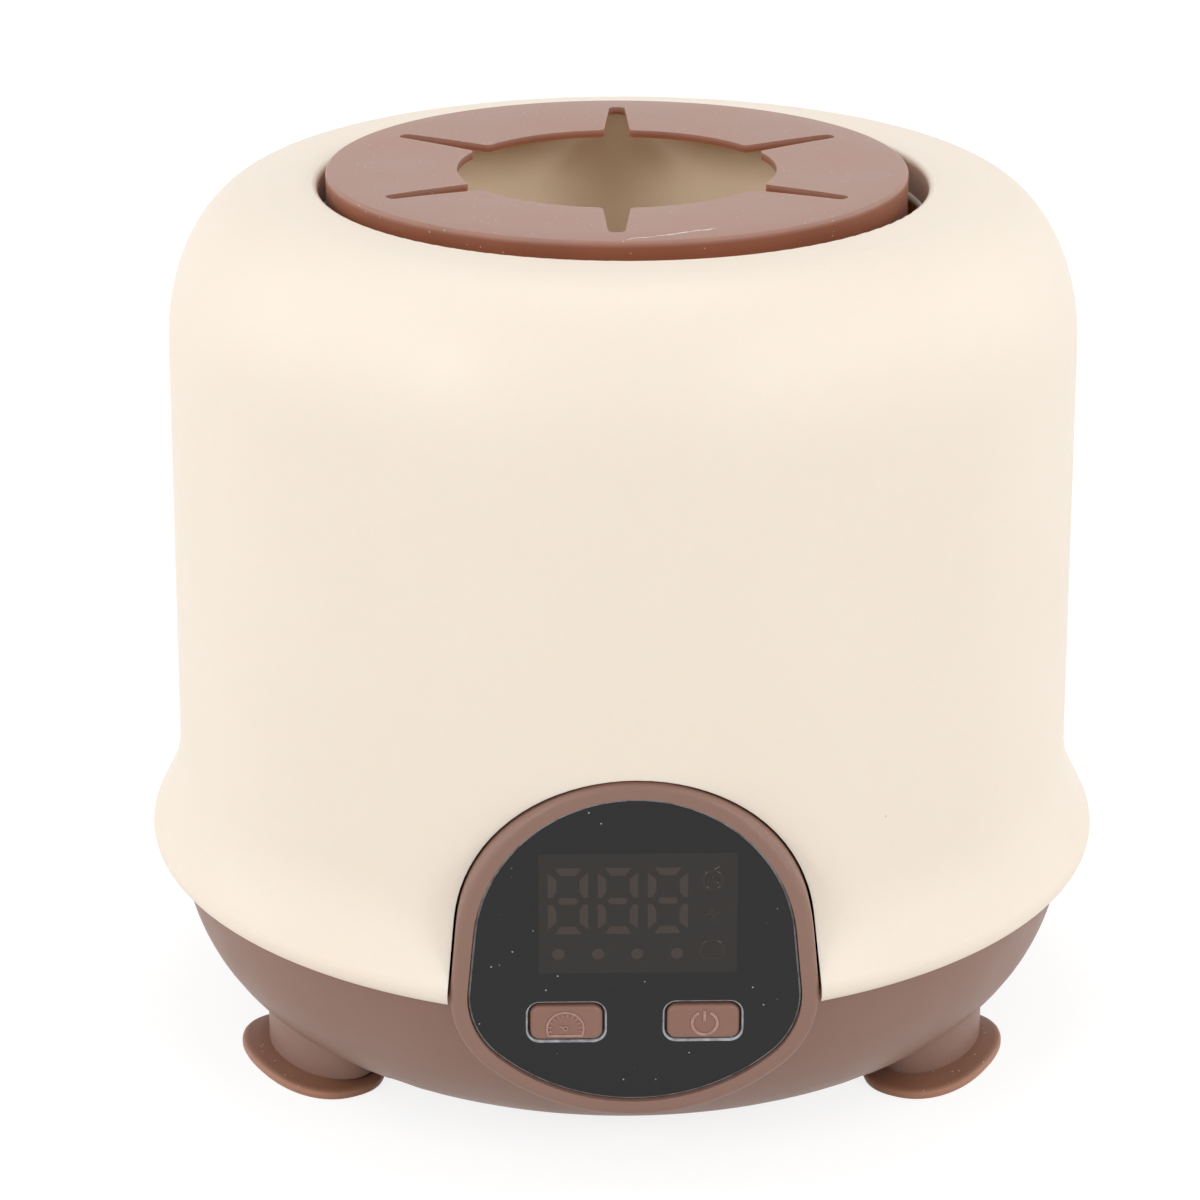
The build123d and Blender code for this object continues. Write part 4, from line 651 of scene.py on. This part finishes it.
outward_reach = FOOT_RING + np.concatenate([
    PAD_SHIFT + hollow_middle,
    PAD_SHIFT + (PAD_HALF[0] - inset) * oval_out,
    plug_radii * cosine,
])
sideways_reach = np.concatenate([
    PAD_SLIP + hollow_middle,
    PAD_SLIP + (PAD_HALF[1] - inset) * oval_side,
    plug_radii * sine,
])
foot_heights = np.concatenate([[[PAD_HOLLOW]], pad_heights, plug_heights])
for side, azimuth in FOOT_AZIMUTHS.items():
    out_x, out_y = np.sin(radians(azimuth)), -np.cos(radians(azimuth))
    pad_x = outward_reach * out_x - sideways_reach * out_y
    pad_y = outward_reach * out_y + sideways_reach * out_x
    pad_grid = np.stack([pad_x, pad_y, np.broadcast_to(foot_heights, pad_x.shape)], axis=-1)
    piece(f"suction_pad_{side}", [pad_grid], finishes["foot_silicone"], "housing",
          [f"suction_foot_{side}"])

# Bead inside the mouth
bead_turn = np.linspace(0, 2 * np.pi, MOUTH_BEAD_STEPS)[:, None]
bead_radii = MOUTH_RADIUS + MOUTH_BEAD_HALF[0] * np.cos(bead_turn)
bead_heights = MOUTH_BEAD_Z + MOUTH_BEAD_HALF[1] * np.sin(bead_turn)
mouth_turn = np.linspace(0, 2 * np.pi, MOUTH_STEPS)[None, :]
bead_grid = turned(bead_radii, bead_heights, mouth_turn, (0.0, 0.0))
piece("mouth_bead", [bead_grid], finishes["shell_plastic"], "housing")

# Display window
film_face = lens_face - PRINT_DEPTH
segment_face = film_face - PRINT_DEPTH
left, right, low, high = WINDOW
window_outline = np.array([(left, low), (right, low), (right, high), (left, high)])
piece("display_window", [plate(window_outline, film_face, lens_face)], finishes["display_plastic"],
      "housing")

# Digits and dots
wide, tall = DIGIT_SIZE
flat_outer, flat_inner = FLAT_INSETS
flat_bar = np.array([
    (flat_outer, tall), (wide - flat_outer, tall),
    (wide - flat_inner, tall - SEGMENT_WIDTH), (flat_inner, tall - SEGMENT_WIDTH),
])
tip, end = MIDDLE_INSETS
middle_bar = (0, tall / 2) + np.array([
    (tip, 0), (end, MIDDLE_HALF), (wide - end, MIDDLE_HALF),
    (wide - tip, 0), (wide - end, -MIDDLE_HALF), (end, -MIDDLE_HALF),
])
outer_top, inner_top, inner_foot, foot = UPRIGHT_DROPS
upright_bar = np.array([
    (0, tall - outer_top), (SEGMENT_WIDTH, tall - inner_top), (SEGMENT_WIDTH, tall - inner_foot),
    (UPRIGHT_FOOT, tall - foot), (0, tall - foot),
])
mirror_x = np.array([-1, 1])
mirror_z = np.array([1, -1])
digit_segments = [
    flat_bar,
    middle_bar,
    upright_bar,
    flat_bar * mirror_z + (0, tall),
    upright_bar * mirror_x + (wide, 0),
    upright_bar * mirror_z + (0, tall),
    upright_bar * mirror_x * mirror_z + (wide, tall),
]
segment_grids = [
    plate(segment + (digit_left, DIGIT_LOW), segment_face, lens_face)
    for digit_left in DIGIT_LEFTS
    for segment in digit_segments
]
segment_grids += [plate(circle((x, DOT_Z), DOT_RADIUS, steps=32), segment_face, lens_face) for x in DOT_XS]
piece("display_segments", segment_grids, segment_ink, "housing")

# Display icons: a clock, a bolt and a gauge
clock = np.array((ICON_X, CLOCK_Z))
gauge = np.array((ICON_X, GAUGE_Z))
clock_rim = circle(clock, CLOCK_RADIUS, steps=48)
icon_bolt = np.array(BOLT_OUTLINE) + (ICON_X, BOLT_Z)
icon_lines = [
    clock + CLOCK_HANDS,
    clock + CLOCK_KNOB,
    arc(gauge, GAUGE_RADIUS, *GAUGE_SPAN, steps=40),
    gauge + GAUGE_CHORD,
]
icon_grids = [bead(line, ICON_LINE, segment_face, lens_face) for line in icon_lines]
icon_grids.append(bead(clock_rim, ICON_LINE, segment_face, lens_face, closed=True))
icon_grids.append(plate(icon_bolt, segment_face, lens_face))
piece("display_icons", icon_grids, icon_ink, "housing")


# Key symbols
def key_middle(node):
    """Middle of a key's face in x and z."""
    low_corner, high_corner = (np.array(corner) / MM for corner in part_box(node))
    return (low_corner[[0, 2]] + high_corner[[0, 2]]) / 2


emboss_front = key_face - EMBOSS_HEIGHT
emboss_back = key_face + EMBOSS_ROOT
dial = key_middle("speed_button") + DIAL_OFFSET
dial_rim = arc(dial, DIAL_RADIUS, -DIAL_CUT, 180 + DIAL_CUT, steps=64)
dial_chord = np.linspace(dial_rim[-1], dial_rim[0], 12)[1:-1]
dial_hub = circle(dial + HUB_OFFSET, HUB_RADIUS, steps=24)
tick_turns = np.radians(np.linspace(*TICK_SPAN, TICKS))
tick_ways = np.stack([np.cos(tick_turns), np.sin(tick_turns)], axis=-1)
tick_reach = DIAL_RADIUS - np.array(TICK_DEPTHS)[:, None]
dial_grids = [
    bead(np.vstack([dial_rim, dial_chord]), DIAL_LINE, emboss_front, emboss_back, closed=True),
    bead(dial_hub, FINE_LINE, emboss_front, emboss_back, closed=True),
    bead(dial + NEEDLE, FINE_LINE, emboss_front, emboss_back),
]
dial_grids += [bead(dial + way * tick_reach, FINE_LINE, emboss_front, emboss_back) for way in tick_ways]
piece("speed_key_dial", dial_grids, key_relief, "speed_key")

power_centre = key_middle("power_button") + POWER_OFFSET
power_ring = arc(power_centre, POWER_RADIUS, *POWER_SPAN, steps=64)
power_grids = [
    bead(power_ring, POWER_LINE, emboss_front, emboss_back),
    bead(power_centre + POWER_STEM, POWER_LINE, emboss_front, emboss_back),
]
piece("power_key_symbol", power_grids, key_relief, "power_key")


# Floor and backdrop
def seen_directly(tree):
    """1 for rays from the camera, mirrors and glass, 0 for those that carry light."""
    ray = add(tree, "LightPath", {})
    either = calculate(tree, "MAXIMUM", ray["Is Camera Ray"], ray["Is Glossy Ray"])
    return calculate(tree, "MAXIMUM", either, ray["Is Transmission Ray"])


floor_paint = bpy.data.materials.new("pale_studio_paper")
paper = empty_tree(floor_paint)
plain = add(paper, "BsdfDiffuse", {"Color": linear("#e8e6e3")})
glow = add(paper, "Emission", {"Color": (1, 1, 1, 1), "Strength": 0.82})
shaded = add(paper, "BsdfDiffuse", {"Color": linear("#8f8f8f")})
white = add(paper, "AddShader", {0: glow[0], 1: shaded[0]})
sheet = add(paper, "MixShader", {0: seen_directly(paper), 1: plain[0], 2: white[0]})
add(paper, "OutputMaterial", {"Surface": sheet[0]})
floor_corners = [(x * FLOOR_REACH, y * FLOOR_REACH, 0) for x, y in ((-1, -1), (1, -1), (1, 1), (-1, 1))]
floor_mesh = bpy.data.meshes.new("studio_floor")
floor_mesh.from_pydata(floor_corners, [], [(0, 1, 2, 3)])
floor_mesh.materials.append(floor_paint)
floor = bpy.data.objects.new("studio_floor", floor_mesh)
bpy.context.scene.collection.objects.link(floor)

studio = bpy.data.worlds.new("studio")
bpy.context.scene.world = studio
air = empty_tree(studio)
backdrop = add(air, "Background", {"Color": (1, 1, 1, 1), "Strength": 1.0})
ambient = add(air, "Background", {"Color": (1, 1, 1, 1), "Strength": 0.5})
seen = add(air, "MixShader", {0: seen_directly(air), 1: ambient[0], 2: backdrop[0]})
add(air, "OutputWorld", {"Surface": seen[0]})


# Lights
def softbox(name, place, size, watts):
    """Square soft light that looks at the middle of the body."""
    lamp = bpy.data.lights.new(name, "AREA")
    lamp.size = size
    lamp.energy = watts
    light = bpy.data.objects.new(name, lamp)
    light.location = place
    aim = np.array(BODY_MIDDLE) - np.array(place)
    pan, tilt = np.arctan2(aim[1], aim[0]), np.arctan2(np.hypot(aim[0], aim[1]), -aim[2])
    light.rotation_euler = (tilt, 0, pan - np.pi / 2)
    bpy.context.scene.collection.objects.link(light)


softbox("front_left_softbox", (-1.3, -1.3, 0.93), size=0.6, watts=10)
softbox("front_right_softbox", (1.3, -1.3, 0.93), size=0.6, watts=10)
softbox("left_reflector", (-1.6, 0.3, 0.6), size=1.2, watts=6.5)
softbox("right_reflector", (1.6, 0.3, 0.6), size=1.2, watts=6)
softbox("top_softbox", (0.0, 0.3, 1.8), size=0.9, watts=5.5)

# Camera
lens = bpy.data.cameras.new("photo_camera")
lens.lens = FOCAL_LENGTH
lens.sensor_width = SENSOR_WIDTH
camera = bpy.data.objects.new("photo_camera", lens)
camera.location = CAMERA_PLACE
camera.rotation_euler = (radians(CAMERA_TILT), 0, radians(CAMERA_PAN))
bpy.context.scene.collection.objects.link(camera)
bpy.context.scene.camera = camera
bpy.context.scene.view_settings.view_transform = "Standard"
